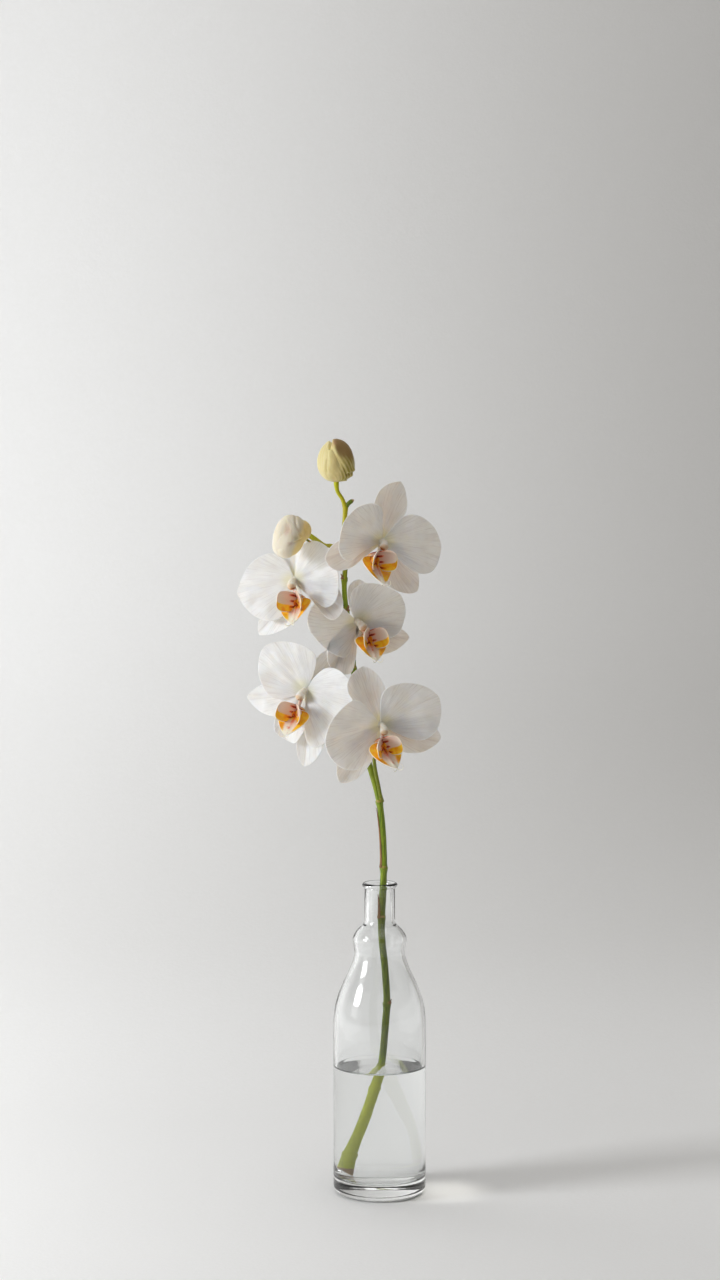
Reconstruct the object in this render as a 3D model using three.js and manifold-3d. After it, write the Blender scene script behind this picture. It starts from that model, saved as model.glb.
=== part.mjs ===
// A cut moth-orchid spike standing in a clear bottle vase that is part filled with water.
//
// Units are millimetres, +Z is up, the front faces -Y, and the origin is the centre of the bottle's
// flat underside. The stem leans in the neck and its cut end stands on the inner floor. Every bloom is
// modelled in a frame of its own: x to the right, y up and z forward, out of its face, with the origin
// where its petals meet.

import * as THREE from "three";
import { mergeVertices } from "three/addons/utils/BufferGeometryUtils.js";
import Module from "manifold-3d";

const wasm = await Module();
wasm.setup();

const degrees = THREE.MathUtils.degToRad;

// ---------------------------------------------------------------------------------------------------------
// Driving dimensions
// ---------------------------------------------------------------------------------------------------------

/** Clearance between pieces that touch. */
const GAP = 0.3;

/** Slivers thinner than this are cleared where solids are joined. */
const SLIVER = 0.05;

const BOTTLE = {
  height: 212,
  bodyRadius: 31.4,
  footRadius: 27,
  heelRadius: 5.6,
  bodyTop: 108,
  floor: 10.5,
  innerHeelRadius: 6,
  wall: 2.5,
  neckRadius: 10.3,
  neckBottom: 186,
  lipRadius: 11.9,
  lipHeight: 3,
  underLip: 0.8,
  mouthDepth: 3.4,
  mouthFlare: 0.8,
  mouthEdge: 1,
  shoulderDivisions: 10,
  segments: 36,
};

/** The concave shoulder and the bulge under the neck, as [radius, height] from the body up. */
const SHOULDER = [[31, 120.7], [29.5, 131], [25.3, 142.6], [20.2, 153.6], [17.2, 163.2], [17.6, 169.3],
  [18.2, 174.4], [15.3, 179.6], [11.4, 183.6]];

const WATER = { level: 86, stemClearance: 1.2 };

/** Centre line of the stem, from its cut end up to the fork under the top bud. */
const STEM_LINE = [[-14.4, 14.1, 10], [-12.4, 13.4, 25], [-6.7, 10.8, 50], [-0.9, 7.5, 77.5], [1.5, 6, 88],
  [4.1, 4, 116], [4.9, 3, 129], [3.5, 1, 154], [1.2, -1.5, 178], [1.9, -3.9, 204], [2.5, -5.2, 216],
  [2.6, -6, 232], [1.2, -7.5, 256], [-1.2, -8, 272], [-5.6, -8.4, 288], [-12, -9, 308], [-15.5, -9, 330],
  [-17.4, -9, 355], [-18.8, -9, 373], [-22.2, -9, 394], [-23.8, -9, 412], [-22.9, -9, 430], [-23.6, -9, 452],
  [-22.9, -9, 466]];

const STEM = {
  radiusAtCut: 3.1,
  radiusAtNeck: 2.35,
  radiusAtTop: 1.55,
  neckShare: 0.4,
  nodeHalfHeight: 3.4,
  steps: 36,
  sides: 8,
};

/** The slanted cut through the foot of the stem: a place on it and its slope. */
const CUT = { place: [-15.6, 14, 13.2], slope: 42 };

/** Heights of the swollen nodes that carry nothing, and how far each stands out past the stem. */
const BARE_NODES = [[25, 0.45], [72, 0.35], [128.6, 0.55], [223, 0.6], [417.5, 0.6]];

/** Dry sheaths that run up the stem from a node, each as its centre line. */
const SHEATH_LINES = [
  [[0.6, -5.9, 221], [-0.9, -8.3, 226], [-1.5, -9.2, 240], [-3.2, -10, 256], [-3.7, -10.2, 265]],
  [[0.4, -2.6, 187.5], [-1.5, -3.9, 191], [-1.9, -4.5, 198], [-1.5, -5, 205]],
];

const SHEATH = { radiusAtNode: 0.75, radiusAtTip: 0.25, steps: 6, sides: 4 };

/** The stalks of the blooms: straight just behind the bloom, with a collar where they leave the stem. */
const PEDICEL = {
  radiusAtStem: 1.25,
  radiusAtBloom: 1.75,
  straight: 4,
  collarRadius: 2.5,
  collarHalfHeight: 3,
  steps: 6,
  sides: 6,
};

/** The short dead tip beside the top bud. */
const STUB = {
  line: [[-22.9, -9, 464.5], [-21.2, -9.2, 467.6], [-19, -9.4, 469.6]],
  radiusAtFork: 1.1,
  radiusAtTip: 1.45,
};

/**
 * The closed buds. tip is the way that the bud points, narrowing makes its tip slimmer than its base,
 * chin is the swelling of the base beside the stalk, as [offset from the centre, half sizes], and line is
 * the stalk.
 */
const BUDS = {
  bud_1: {
    centre: [-29.1, -9, 496], tip: [-0.04, -0.05, 1], width: 24.6, depth: 23.5, length: 28,
    narrowing: 0.1, keel: 115,
    chin: [[5.5, -1.5, -6.8], [7, 7.4, 6.6]],
    line: [[-22.9, -9, 464.5], [-25, -9, 470.5], [-28.3, -9, 476], [-29.2, -9, 481.5]], radius: 1.35,
  },
  bud_2: {
    centre: [-59.2, -50, 447.7], tip: [-0.2, -0.2, -1], width: 22, depth: 21, length: 28.5,
    narrowing: -0.04, keel: 60,
    chin: [[8.2, 2.6, 3.8], [6.3, 6, 6.8]],
    line: [[-23.6, -9.5, 437.5], [-28, -15.5, 438.6], [-32.5, -22, 440.3], [-36.2, -29, 440.8],
      [-40.3, -36, 443.6], [-46.8, -43, 448.4]], radius: 1.3,
  },
};

const BUD = { around: 16, along: 12, ridges: 5, ridge: 0.4, twist: 1.6, fullness: 0.15 };

/** Tepals by kind: how pointed the tip and the claw are, how far the widest place sits towards the tip. */
const SEPAL = {
  spokes: 10, rings: 3, tip: 1.3, base: 1.4, egg: 0, lean: -4, arch: 0, cup: 3, claw: 3, rise: -1.2,
};
const PETAL = {
  spokes: 14, rings: 3, tip: 1.1, base: 2.4, egg: 0, lean: 12, arch: -3, cup: 2, claw: 3, rise: 0,
};
const BLADE_THICKNESS = 0.8;

/** The strip at the claw of each blade that is sunk in the middle of the bloom. */
const ROOT = { depth: 3.2, halfWidth: 2 };

const LIP = {
  thickness: 0.9,
  midLobe: {
    at: 270, length: 15.5, left: 10.3, right: 10.3, back: 2.8, tip: 1.8, base: 0.8, egg: -0.1,
    lean: 42, arch: 0, cup: 3, claw: 0, rise: 0, spokes: 12, rings: 2,
  },
  sideLobe: {
    length: 10.5, left: 6.8, right: 6.8, back: 0, tip: 0.85, base: 1.3, egg: 0.1,
    lean: 50, arch: -2, cup: 2, claw: 0, rise: 0, spokes: 10, rings: 2,
  },
  sideLobeAngle: 12,
  callus: { place: [0, 0.4, 1.2], halfSizes: [2.4, 1.9, 2.4] },
  foot: { height: 2.2, radius: 1.2, clearOfLean: 0.93 },
};

/** The white column: it grows out of the hub that the tepals meet in, and leans over the lip. */
const COLUMN = {
  hubRadius: 3.2,
  hubDepth: -1.5,
  length: 7,
  radius: 1.9,
  lean: 2.6,
  capHalfSizes: [2.4, 2.9, 2.4],
};

/**
 * The open blooms, from the top of the spike down. turn is the heading of the face, to the right of
 * straight ahead, and roll is its lean in its own plane. A tepal has its direction, its length, and the
 * half widths to the left and right of its middle line, all seen face on; back moves the widest place
 * towards the claw, bend curves the middle line, and cup lifts the edges.
 */
const BLOOMS = [
  {
    name: "bloom_1", centre: [1.4, -46, 443.9], turn: 28, roll: -10, from: [-23.1, -9.2, 432],
    tepals: [
      { ...SEPAL, at: 88, length: 38.5, left: 13.5, right: 10.5, backLeft: -2, backRight: 2.5,
        bend: -7.5, tip: 1.45, base: 1.9, egg: 0.25, arch: -2 },
      { ...PETAL, at: 8, length: 38.5, left: 19, right: 19.5, backLeft: 3, backRight: -4,
        bend: -2.5, tip: 1.15 },
      { ...PETAL, at: 161, length: 30, left: 24, right: 19.5, backLeft: -5, backRight: 3, bend: 3,
        tip: 1, base: 2.6, egg: 0.1, cupLeft: 10 },
      { ...SEPAL, at: 200, length: 38, left: 10.5, right: 10, backLeft: -3.5, backRight: 1,
        bend: 3.5, base: 1.9, egg: 0.3 },
      { ...SEPAL, at: 315, length: 40.5, left: 10.5, right: 15, backLeft: 1, backRight: 3.5,
        bend: 3.5 },
    ],
    lip: { place: [-8.2, -12, 4.5], pitch: 0, roll: -6, bend: 1.5 },
  },
  {
    name: "bloom_2", centre: [-56.8, -32.5, 417.8], turn: -26, roll: 6, from: [-22.5, -9, 396],
    tepals: [
      { ...SEPAL, at: 86, length: 38, left: 9.5, right: 9.5, backLeft: 0, backRight: 0, bend: 0,
        base: 2, egg: 0.15, lean: -9 },
      { ...PETAL, at: 11, length: 32, left: 20.5, right: 24.5, backLeft: 2.5, backRight: -2,
        bend: 3, tip: 1.05, egg: 0.15 },
      { ...PETAL, at: 184, length: 37.5, left: 23.5, right: 20.5, backLeft: 6.5, backRight: 9.5,
        bend: 2, tip: 1.35, base: 1.6, egg: 0.15 },
      { ...SEPAL, at: 234, length: 43, left: 15, right: 9, backLeft: 5, backRight: 1.5, bend: -6,
        tip: 1.4 },
      { ...SEPAL, at: 334, length: 37, left: 11.5, right: 9.5, backLeft: 1, backRight: -6.5,
        bend: -5, base: 1.5, egg: 0.4, lean: 4 },
    ],
    lip: { place: [5.7, -14.2, 4.5], pitch: 6, roll: 8, bend: 0 },
  },
  {
    name: "bloom_3", centre: [-15, -23, 389.8], turn: 22, roll: 14, from: [-17.5, -9.2, 358],
    tepals: [
      { ...SEPAL, at: 64, length: 25, left: 9, right: 9, backLeft: 0, backRight: 0, bend: 0,
        base: 1.9, egg: 0.2, lean: -22 },
      { ...PETAL, at: 27, length: 30.5, left: 20, right: 23.5, backLeft: 5.5, backRight: 7,
        bend: -6.5, tip: 1.25, base: 1.5, egg: 0.15 },
      { ...PETAL, at: 176, length: 32.5, left: 21.5, right: 18.5, backLeft: 3.5, backRight: -2,
        bend: -6, tip: 1.05, egg: -0.2, lean: 9 },
      { ...SEPAL, at: 225, length: 33, left: 11, right: 11.5, backLeft: -5, backRight: 1.5,
        bend: 2.5, tip: 1.25, egg: 0.3, lean: 1 },
      { ...SEPAL, at: 321, length: 37.5, left: 7, right: 16, backLeft: 1.5, backRight: 3.5,
        bend: 5.5 },
    ],
    lip: { place: [5.7, -12, 5], pitch: 8, roll: 0, bend: 0 },
  },
  {
    name: "bloom_4", centre: [-50.1, -24, 344], turn: -24, roll: -18, from: [-14.2, -9.2, 318],
    tepals: [
      { ...SEPAL, at: 67, length: 38, left: 10, right: 11.5, backLeft: -1, backRight: 0, bend: 0,
        lean: -25 },
      { ...PETAL, at: 344, length: 31, left: 23.5, right: 22.5, backLeft: 13, backRight: 1,
        bend: 1.5, tip: 0.6, base: 2.2, egg: 0.6 },
      { ...PETAL, at: 148, length: 36.5, left: 21.5, right: 23.5, backLeft: 6, backRight: 4.5,
        bend: 2.5, base: 1.9, egg: -0.1 },
      { ...SEPAL, at: 210, length: 41, left: 14, right: 9, backLeft: 2, backRight: 1.5, bend: -3 },
      { ...SEPAL, at: 293, length: 47.5, left: 15.5, right: 7, backLeft: -1, backRight: -3,
        bend: -6.5, tip: 1.25 },
      { ...SEPAL, at: 262, length: 33, left: 12, right: 9, backLeft: -5, backRight: -5, bend: 0,
        tip: 0.7, base: 1.8, egg: 0.1, lean: 2, rise: -0.6 },
    ],
    lip: { place: [-2.8, -15, 6], pitch: 6, roll: -8, bend: 0 },
  },
  {
    name: "bloom_5", centre: [0.8, -42, 323], turn: 20, roll: 12, from: [1.2, -8.2, 268],
    tepals: [
      { ...SEPAL, at: 96, length: 37.5, left: 14.5, right: 9.5, backLeft: -3.5, backRight: 4,
        bend: -1, base: 1.6, egg: 0.4, arch: -2 },
      { ...PETAL, at: 19, length: 39, left: 21, right: 22.5, backLeft: 6, backRight: 2, bend: -4 },
      { ...PETAL, at: 177, length: 39, left: 22.5, right: 21.5, backLeft: -3, backRight: 3.5,
        bend: 3.5, tip: 1.05, base: 2.6, egg: -0.1, cupLeft: 6 },
      { ...SEPAL, at: 219, length: 43, left: 9, right: 12, backLeft: -1, backRight: 0.5, bend: 2,
        base: 1.55, egg: 0.15 },
      { ...SEPAL, at: 331, length: 42, left: 10, right: 13.5, backLeft: 1, backRight: 2.5,
        bend: 2.5 },
    ],
    lip: { place: [-1.1, -13.2, 4.8], pitch: 0, roll: 10, bend: 3 },
  },
];

/** Way points of each pedicel between the stem and the back of its bloom. */
const PEDICEL_WAYS = {
  bloom_1: [[-20.5, -14, 437], [-11, -27, 443]],
  bloom_2: [[-29, -12, 404], [-42, -18, 414]],
  bloom_3: [[-18.3, -12.5, 366], [-18, -15.5, 379]],
  bloom_4: [[-22, -11, 327], [-36, -13.5, 338.5]],
  bloom_5: [[-0.7, -12.2, 278], [-3.8, -17.5, 296], [-3, -27, 313]],
};

const COLOURS = {
  glass: "#dfe8e4",
  water: "#e4ece8",
  stem: "#7c9a1e",
  petal: "#f4f4f0",
  lip: "#e0a010",
  bud: "#e6dda0",
};

// ---------------------------------------------------------------------------------------------------------
// Solids and surfaces
// ---------------------------------------------------------------------------------------------------------

/** A closed geometry as a manifold solid, with its shared vertices merged. */
function solidOf(geometry) {
  const bare = new THREE.BufferGeometry();
  bare.setAttribute("position", geometry.getAttribute("position").clone());
  bare.setIndex(geometry.index.clone());
  const merged = mergeVertices(bare, 1e-4);
  const index = merged.index.array;
  const triangles = [];
  for (let i = 0; i < index.length; i += 3) {
    const [a, b, c] = [index[i], index[i + 1], index[i + 2]];
    if (a !== b && b !== c && c !== a) triangles.push(a, b, c);
  }
  return new wasm.Manifold(new wasm.Mesh({
    numProp: 3,
    vertProperties: new Float32Array(merged.getAttribute("position").array),
    triVerts: new Uint32Array(triangles),
  }));
}

/** The geometry of a manifold solid. */
function geometryOf(solid) {
  const { vertProperties, triVerts } = solid.getMesh();
  const geometry = new THREE.BufferGeometry();
  geometry.setAttribute("position", new THREE.BufferAttribute(new Float32Array(vertProperties), 3));
  geometry.setIndex(new THREE.BufferAttribute(new Uint32Array(triVerts), 1));
  geometry.computeVertexNormals();
  return geometry;
}

/** Several closed geometries joined into one solid, without the slivers along their seams. */
function fused(geometries) {
  return geometries.map(solidOf).reduce((whole, solid) => whole.add(solid)).simplify(SLIVER);
}

/** An indexed geometry from a list of points and a list of triangles. */
function indexedGeometry(points, triangles) {
  const geometry = new THREE.BufferGeometry();
  geometry.setAttribute("position", new THREE.Float32BufferAttribute(points.flatMap((p) => p.toArray()), 3));
  geometry.setIndex(triangles.flat());
  return geometry;
}

/** A smooth curve through [x, y, z] places. */
function curveThrough(places) {
  const points = places.map((place) => new THREE.Vector3(...place));
  return new THREE.CatmullRomCurve3(points, false, "centripetal");
}

/** A closed tube along a curve whose radius may change with the share of the length gone by. */
function taperedTube(curve, radiusAt, steps, sides) {
  const frames = curve.computeFrenetFrames(steps, false);
  const points = [];
  for (let i = 0; i <= steps; i += 1) {
    const centre = curve.getPointAt(i / steps);
    const radius = radiusAt(i / steps);
    for (let j = 0; j < sides; j += 1) {
      const angle = (j / sides) * 2 * Math.PI;
      points.push(centre.clone()
        .addScaledVector(frames.normals[i], radius * Math.cos(angle))
        .addScaledVector(frames.binormals[i], radius * Math.sin(angle)));
    }
  }
  const start = points.push(curve.getPointAt(0)) - 1;
  const end = points.push(curve.getPointAt(1)) - 1;
  const triangles = [];
  for (let j = 0; j < sides; j += 1) {
    const next = (j + 1) % sides;
    for (let i = 0; i < steps; i += 1) {
      const [a, b, c, d] = [i * sides + j, i * sides + next, (i + 1) * sides + next, (i + 1) * sides + j];
      triangles.push([a, b, c], [a, c, d]);
    }
    triangles.push([start, next, j], [end, steps * sides + j, steps * sides + next]);
  }
  return indexedGeometry(points, triangles);
}

/** A sphere stretched to three half sizes and set at a place. */
function ellipsoid([rx, ry, rz], place, around = 10, along = 6) {
  return new THREE.SphereGeometry(1, around, along).scale(rx, ry, rz).translate(...place);
}

// ---------------------------------------------------------------------------------------------------------
// Bottle and water
// ---------------------------------------------------------------------------------------------------------

/** Points of a smooth line through [radius, height] pairs. */
function smoothProfile(pairs, divisions) {
  return new THREE.SplineCurve(pairs.map((pair) => new THREE.Vector2(...pair))).getPoints(divisions);
}

/** Points of a rounded corner, from one angle to another, about a centre. */
function corner(x, y, radius, fromDegrees, toDegrees, divisions = 3) {
  return Array.from({ length: divisions + 1 }, (_, i) => {
    const angle = degrees(fromDegrees + ((toDegrees - fromDegrees) * i) / divisions);
    return new THREE.Vector2(x + radius * Math.cos(angle), y + radius * Math.sin(angle));
  });
}

/** Inside of the bottle, from the middle of its floor to the inner edge of the lip. */
function innerProfile() {
  const radius = BOTTLE.bodyRadius - BOTTLE.wall;
  const neck = BOTTLE.neckRadius - BOTTLE.wall;
  const heel = BOTTLE.innerHeelRadius;
  const shoulder = SHOULDER.map(([outerRadius, height]) => [outerRadius - BOTTLE.wall, height]);
  return [
    new THREE.Vector2(0, BOTTLE.floor),
    ...corner(radius - heel, BOTTLE.floor + heel, heel, -90, 0),
    ...smoothProfile([[radius, BOTTLE.bodyTop], ...shoulder], BOTTLE.shoulderDivisions),
    new THREE.Vector2(neck, BOTTLE.neckBottom),
    new THREE.Vector2(neck, BOTTLE.height - BOTTLE.mouthDepth),
    new THREE.Vector2(neck + BOTTLE.mouthFlare, BOTTLE.height - BOTTLE.mouthEdge),
  ];
}

/** Outside of the bottle, from the middle of its underside to the top of the lip. */
function outerProfile() {
  const heel = BOTTLE.heelRadius;
  const lipRound = BOTTLE.lipHeight / 2;
  return [
    new THREE.Vector2(0, 0),
    new THREE.Vector2(BOTTLE.footRadius, 0),
    ...corner(BOTTLE.bodyRadius - heel, heel, heel, -60, 0),
    ...smoothProfile([[BOTTLE.bodyRadius, BOTTLE.bodyTop], ...SHOULDER], BOTTLE.shoulderDivisions),
    new THREE.Vector2(BOTTLE.neckRadius, BOTTLE.neckBottom),
    new THREE.Vector2(BOTTLE.neckRadius, BOTTLE.height - BOTTLE.lipHeight - BOTTLE.underLip),
    ...corner(BOTTLE.lipRadius - lipRound, BOTTLE.height - lipRound, lipRound, -60, 90, 4),
  ];
}

/** A closed solid turned about the upright axis from points that start and end on it. */
function turned(profile) {
  return new THREE.LatheGeometry(profile, BOTTLE.segments).rotateX(Math.PI / 2);
}

/** The bottle: one blown piece of glass with a thick foot, open at the lip. */
function bottleGeometry() {
  return turned([...outerProfile(), ...innerProfile().reverse()]);
}

/** The water: it fills the bottle to its level, with a plain hole for the stem. */
function waterGeometry() {
  const radius = BOTTLE.bodyRadius - BOTTLE.wall - GAP;
  const heel = BOTTLE.innerHeelRadius - GAP;
  const profile = [
    new THREE.Vector2(0, BOTTLE.floor + GAP),
    ...corner(radius - heel, BOTTLE.floor + GAP + heel, heel, -90, 0),
    new THREE.Vector2(radius, WATER.level),
    new THREE.Vector2(0, WATER.level),
  ];
  const holeRadius = (share) => stemRadius(share) + WATER.stemClearance;
  const hole = taperedTube(curveThrough(STEM_LINE), holeRadius, STEM.steps, STEM.sides);
  return geometryOf(solidOf(turned(profile)).subtract(solidOf(hole)));
}

// ---------------------------------------------------------------------------------------------------------
// Flower stem with its pedicels
// ---------------------------------------------------------------------------------------------------------

/** Radius of the stem at a share of its length: thick at the cut end, slender at the top. */
function stemRadius(share) {
  const { radiusAtCut, radiusAtNeck, radiusAtTop, neckShare } = STEM;
  return share < neckShare
    ? THREE.MathUtils.lerp(radiusAtCut, radiusAtNeck, share / neckShare)
    : THREE.MathUtils.lerp(radiusAtNeck, radiusAtTop, (share - neckShare) / (1 - neckShare));
}

/** The place and radius of the stem at a height. */
function stemAt(height) {
  const curve = curveThrough(STEM_LINE);
  const samples = 400;
  let share = 0;
  while (share < 1 && curve.getPointAt(share).z < height) share += 1 / samples;
  const bounded = Math.min(share, 1);
  return { place: curve.getPointAt(bounded), radius: stemRadius(bounded) };
}

/** A swollen ring round the stem at a height. */
function stemNode(height, bulge) {
  const { place, radius } = stemAt(height);
  return ellipsoid([radius + bulge, radius + bulge, STEM.nodeHalfHeight], place.toArray(), 8, 5);
}

/** A bloom's group, whose local z points out of the bloom's face. */
function bloomFrame({ centre, turn }) {
  const group = new THREE.Group();
  group.position.set(...centre);
  group.rotation.set(Math.PI / 2, 0, degrees(turn), "ZXY");
  group.updateMatrixWorld(true);
  return group;
}

/** The stalk of a bloom, from its node on the stem to just behind the bloom. */
function pedicel(bloom) {
  const { matrixWorld } = bloomFrame(bloom);
  const back = COLUMN.hubDepth - COLUMN.hubRadius - GAP;
  const end = new THREE.Vector3(0, 0, back).applyMatrix4(matrixWorld);
  const approach = new THREE.Vector3(0, 0, back - PEDICEL.straight).applyMatrix4(matrixWorld);
  const line = curveThrough([bloom.from, ...PEDICEL_WAYS[bloom.name], approach.toArray(), end.toArray()]);
  const radiusAt = (share) => THREE.MathUtils.lerp(PEDICEL.radiusAtStem, PEDICEL.radiusAtBloom, share);
  return taperedTube(line, radiusAt, PEDICEL.steps, PEDICEL.sides);
}

/** The swelling where a bloom's stalk leaves the stem. */
function collar({ from }) {
  return ellipsoid([PEDICEL.collarRadius, PEDICEL.collarRadius, PEDICEL.collarHalfHeight], from, 7, 5);
}

/** A dry sheath that tapers to its tip. */
function sheath(line) {
  const radiusAt = (share) => THREE.MathUtils.lerp(SHEATH.radiusAtNode, SHEATH.radiusAtTip, share);
  return taperedTube(curveThrough(line), radiusAt, SHEATH.steps, SHEATH.sides);
}

/** The dead tip, thicker at its blunt end. */
function stub() {
  const radiusAt = (share) => THREE.MathUtils.lerp(STUB.radiusAtFork, STUB.radiusAtTip, share);
  return taperedTube(curveThrough(STUB.line), radiusAt, 4, 6);
}

/** The half space under the slanted cut of the stem, as a large box. */
function underCut() {
  const size = 60;
  return new THREE.BoxGeometry(size, size, size)
    .translate(0, 0, -size / 2)
    .rotateY(degrees(CUT.slope))
    .translate(...CUT.place);
}

/** The half space that the bottle's floor takes up. */
function underFloor() {
  const size = 60;
  return new THREE.BoxGeometry(size, size, size).translate(0, 0, BOTTLE.floor + GAP - size / 2);
}

/** The green spike: stem, nodes, dry sheaths, the stalks of blooms and buds, and the dead tip. */
function stemGeometry() {
  const stem = taperedTube(curveThrough(STEM_LINE), stemRadius, STEM.steps, STEM.sides);
  const cutStem = solidOf(stem).subtract(solidOf(underCut())).subtract(solidOf(underFloor()));
  const bareNodes = BARE_NODES.map(([height, bulge]) => stemNode(height, bulge));
  const budStalks = Object.values(BUDS)
    .map(({ line, radius }) => taperedTube(curveThrough(line), () => radius, PEDICEL.steps, PEDICEL.sides));
  const bloomStalks = [...BLOOMS.map(collar), ...BLOOMS.map(pedicel)];
  const sheaths = SHEATH_LINES.map(sheath);
  return geometryOf(cutStem.add(fused([...bareNodes, ...bloomStalks, ...sheaths, ...budStalks, stub()])));
}

// ---------------------------------------------------------------------------------------------------------
// Tepals, lips and blooms
// ---------------------------------------------------------------------------------------------------------

/**
 * A place on a blade's middle surface. angle runs round the outline, 0 at the tip and half a turn at the
 * claw, and reach goes from 0 at the blade's middle to 1 at its edge.
 */
function bladePoint(blade, angle, reach) {
  const onLeft = Math.sin(angle) >= 0;
  const side = Math.abs(Math.sin(angle));
  const width = onLeft ? blade.left : blade.right;
  const back = (onLeft ? blade.backLeft : blade.backRight) ?? blade.back;
  const cup = (onLeft ? blade.cupLeft : blade.cupRight) ?? blade.cup;
  const power = Math.cos(angle) > 0 ? blade.tip : blade.base;
  const middle = blade.length / 2;
  const rootShare = ((1 - Math.cos(angle)) / 2) ** 6;
  const edgeX = middle * (1 + Math.cos(angle)) - back * side ** 2 - ROOT.depth * rootShare;
  const halfWidth = width * side ** power * (1 + blade.egg * Math.cos(angle))
    + ROOT.halfWidth * Math.sqrt(side) * rootShare;
  const edgeY = (onLeft ? 1 : -1) * halfWidth;
  const x = middle + (edgeX - middle) * reach;
  const y = edgeY * reach;
  const along = x / blade.length;
  const across = y / width;
  const height = x * Math.tan(degrees(blade.lean)) + blade.arch * along * Math.abs(along)
    + cup * across ** 2 * THREE.MathUtils.clamp(2 * along, 0, 1) + blade.rise;
  const out = blade.claw + x;
  const aside = y + (blade.bend ?? 0) * along * Math.abs(along);
  const heading = degrees(blade.at);
  return new THREE.Vector3(
    out * Math.cos(heading) - aside * Math.sin(heading),
    out * Math.sin(heading) + aside * Math.cos(heading),
    height,
  );
}

/** A closed thin blade, split into the same triangles on both faces. */
function bladeGeometry(blade, thickness) {
  const { spokes, rings } = blade;
  const middle = [bladePoint(blade, 0, 0)];
  for (let ring = 1; ring <= rings; ring += 1) {
    for (let spoke = 0; spoke < spokes; spoke += 1) {
      middle.push(bladePoint(blade, (spoke / spokes) * 2 * Math.PI, ring / rings));
    }
  }
  const at = (ring, spoke) => 1 + (ring - 1) * spokes + (spoke % spokes);
  const face = [];
  for (let spoke = 0; spoke < spokes; spoke += 1) {
    face.push([0, at(1, spoke), at(1, spoke + 1)]);
    for (let ring = 1; ring < rings; ring += 1) {
      const [a, d] = [at(ring, spoke), at(ring, spoke + 1)];
      const [b, c] = [at(ring + 1, spoke), at(ring + 1, spoke + 1)];
      face.push([a, b, c], [a, c, d]);
    }
  }
  const sheet = indexedGeometry(middle, face);
  sheet.computeVertexNormals();
  const normals = sheet.getAttribute("normal");
  const offset = (sign) => middle.map((point, i) => point.clone()
    .addScaledVector(new THREE.Vector3().fromBufferAttribute(normals, i), (sign * thickness) / 2));
  const count = middle.length;
  const back = face.map(([a, b, c]) => [a + count, c + count, b + count]);
  const rim = [];
  for (let spoke = 0; spoke < spokes; spoke += 1) {
    const [a, b] = [at(rings, spoke), at(rings, spoke + 1)];
    rim.push([a, a + count, b + count], [a, b + count, b]);
  }
  return indexedGeometry([...offset(1), ...offset(-1)], [...face, ...back, ...rim]);
}

/** The white column of a bloom with its cap, leaning towards the lip. */
function columnPieces({ lip }) {
  const [lipX, lipY] = lip.place;
  const lean = new THREE.Vector2(lipX, lipY).setLength(COLUMN.lean);
  const tip = [lean.x, lean.y, COLUMN.length];
  const line = curveThrough([[0, 0, COLUMN.hubDepth], [0, 0, COLUMN.length / 3], tip]);
  return [
    ellipsoid([COLUMN.hubRadius, COLUMN.hubRadius, COLUMN.hubRadius], [0, 0, COLUMN.hubDepth], 9, 6),
    taperedTube(line, () => COLUMN.radius, 3, 7),
    ellipsoid(COLUMN.capHalfSizes, tip, 8, 5),
  ];
}

/** The white body of a bloom: sepals, petals and the column that they meet in. */
function bloomGeometry(bloom) {
  const roll = degrees(bloom.roll);
  const tepals = bloom.tepals.map((blade) => bladeGeometry(blade, BLADE_THICKNESS).rotateZ(roll));
  return geometryOf(fused([...tepals, ...columnPieces(bloom)]));
}

/** Sets an object where a bloom's lip is, in the bloom's frame. */
function placeLip(object, { place, pitch, roll }) {
  object.position.set(...place);
  object.rotation.set(degrees(-pitch), 0, degrees(roll));
  object.updateMatrix();
  return object;
}

/** The foot of a lip, from its callus to just short of the column, in the lip's own frame. */
function lipFoot(lip) {
  const [x, y] = lip.place;
  const reach = new THREE.Vector2(x, y).setLength(COLUMN.radius + LIP.foot.clearOfLean + GAP);
  const seat = new THREE.Vector3(reach.x, reach.y, LIP.foot.height);
  const toLip = placeLip(new THREE.Object3D(), lip).matrix.invert();
  const line = curveThrough([seat.applyMatrix4(toLip).toArray(), LIP.callus.place]);
  return taperedTube(line, () => LIP.foot.radius, 2, 6);
}

/** The coloured lip of a bloom, in the lip's own frame: mid-lobe, two erect side lobes, callus and foot. */
function lipGeometry(lip) {
  const sideLobes = [LIP.sideLobeAngle, 180 - LIP.sideLobeAngle]
    .map((at) => bladeGeometry({ ...LIP.sideLobe, at }, LIP.thickness));
  const midLobe = bladeGeometry({ ...LIP.midLobe, bend: lip.bend }, LIP.thickness);
  const callus = ellipsoid(LIP.callus.halfSizes, LIP.callus.place, 7, 5);
  return geometryOf(fused([midLobe, ...sideLobes, callus, lipFoot(lip)]));
}

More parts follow.
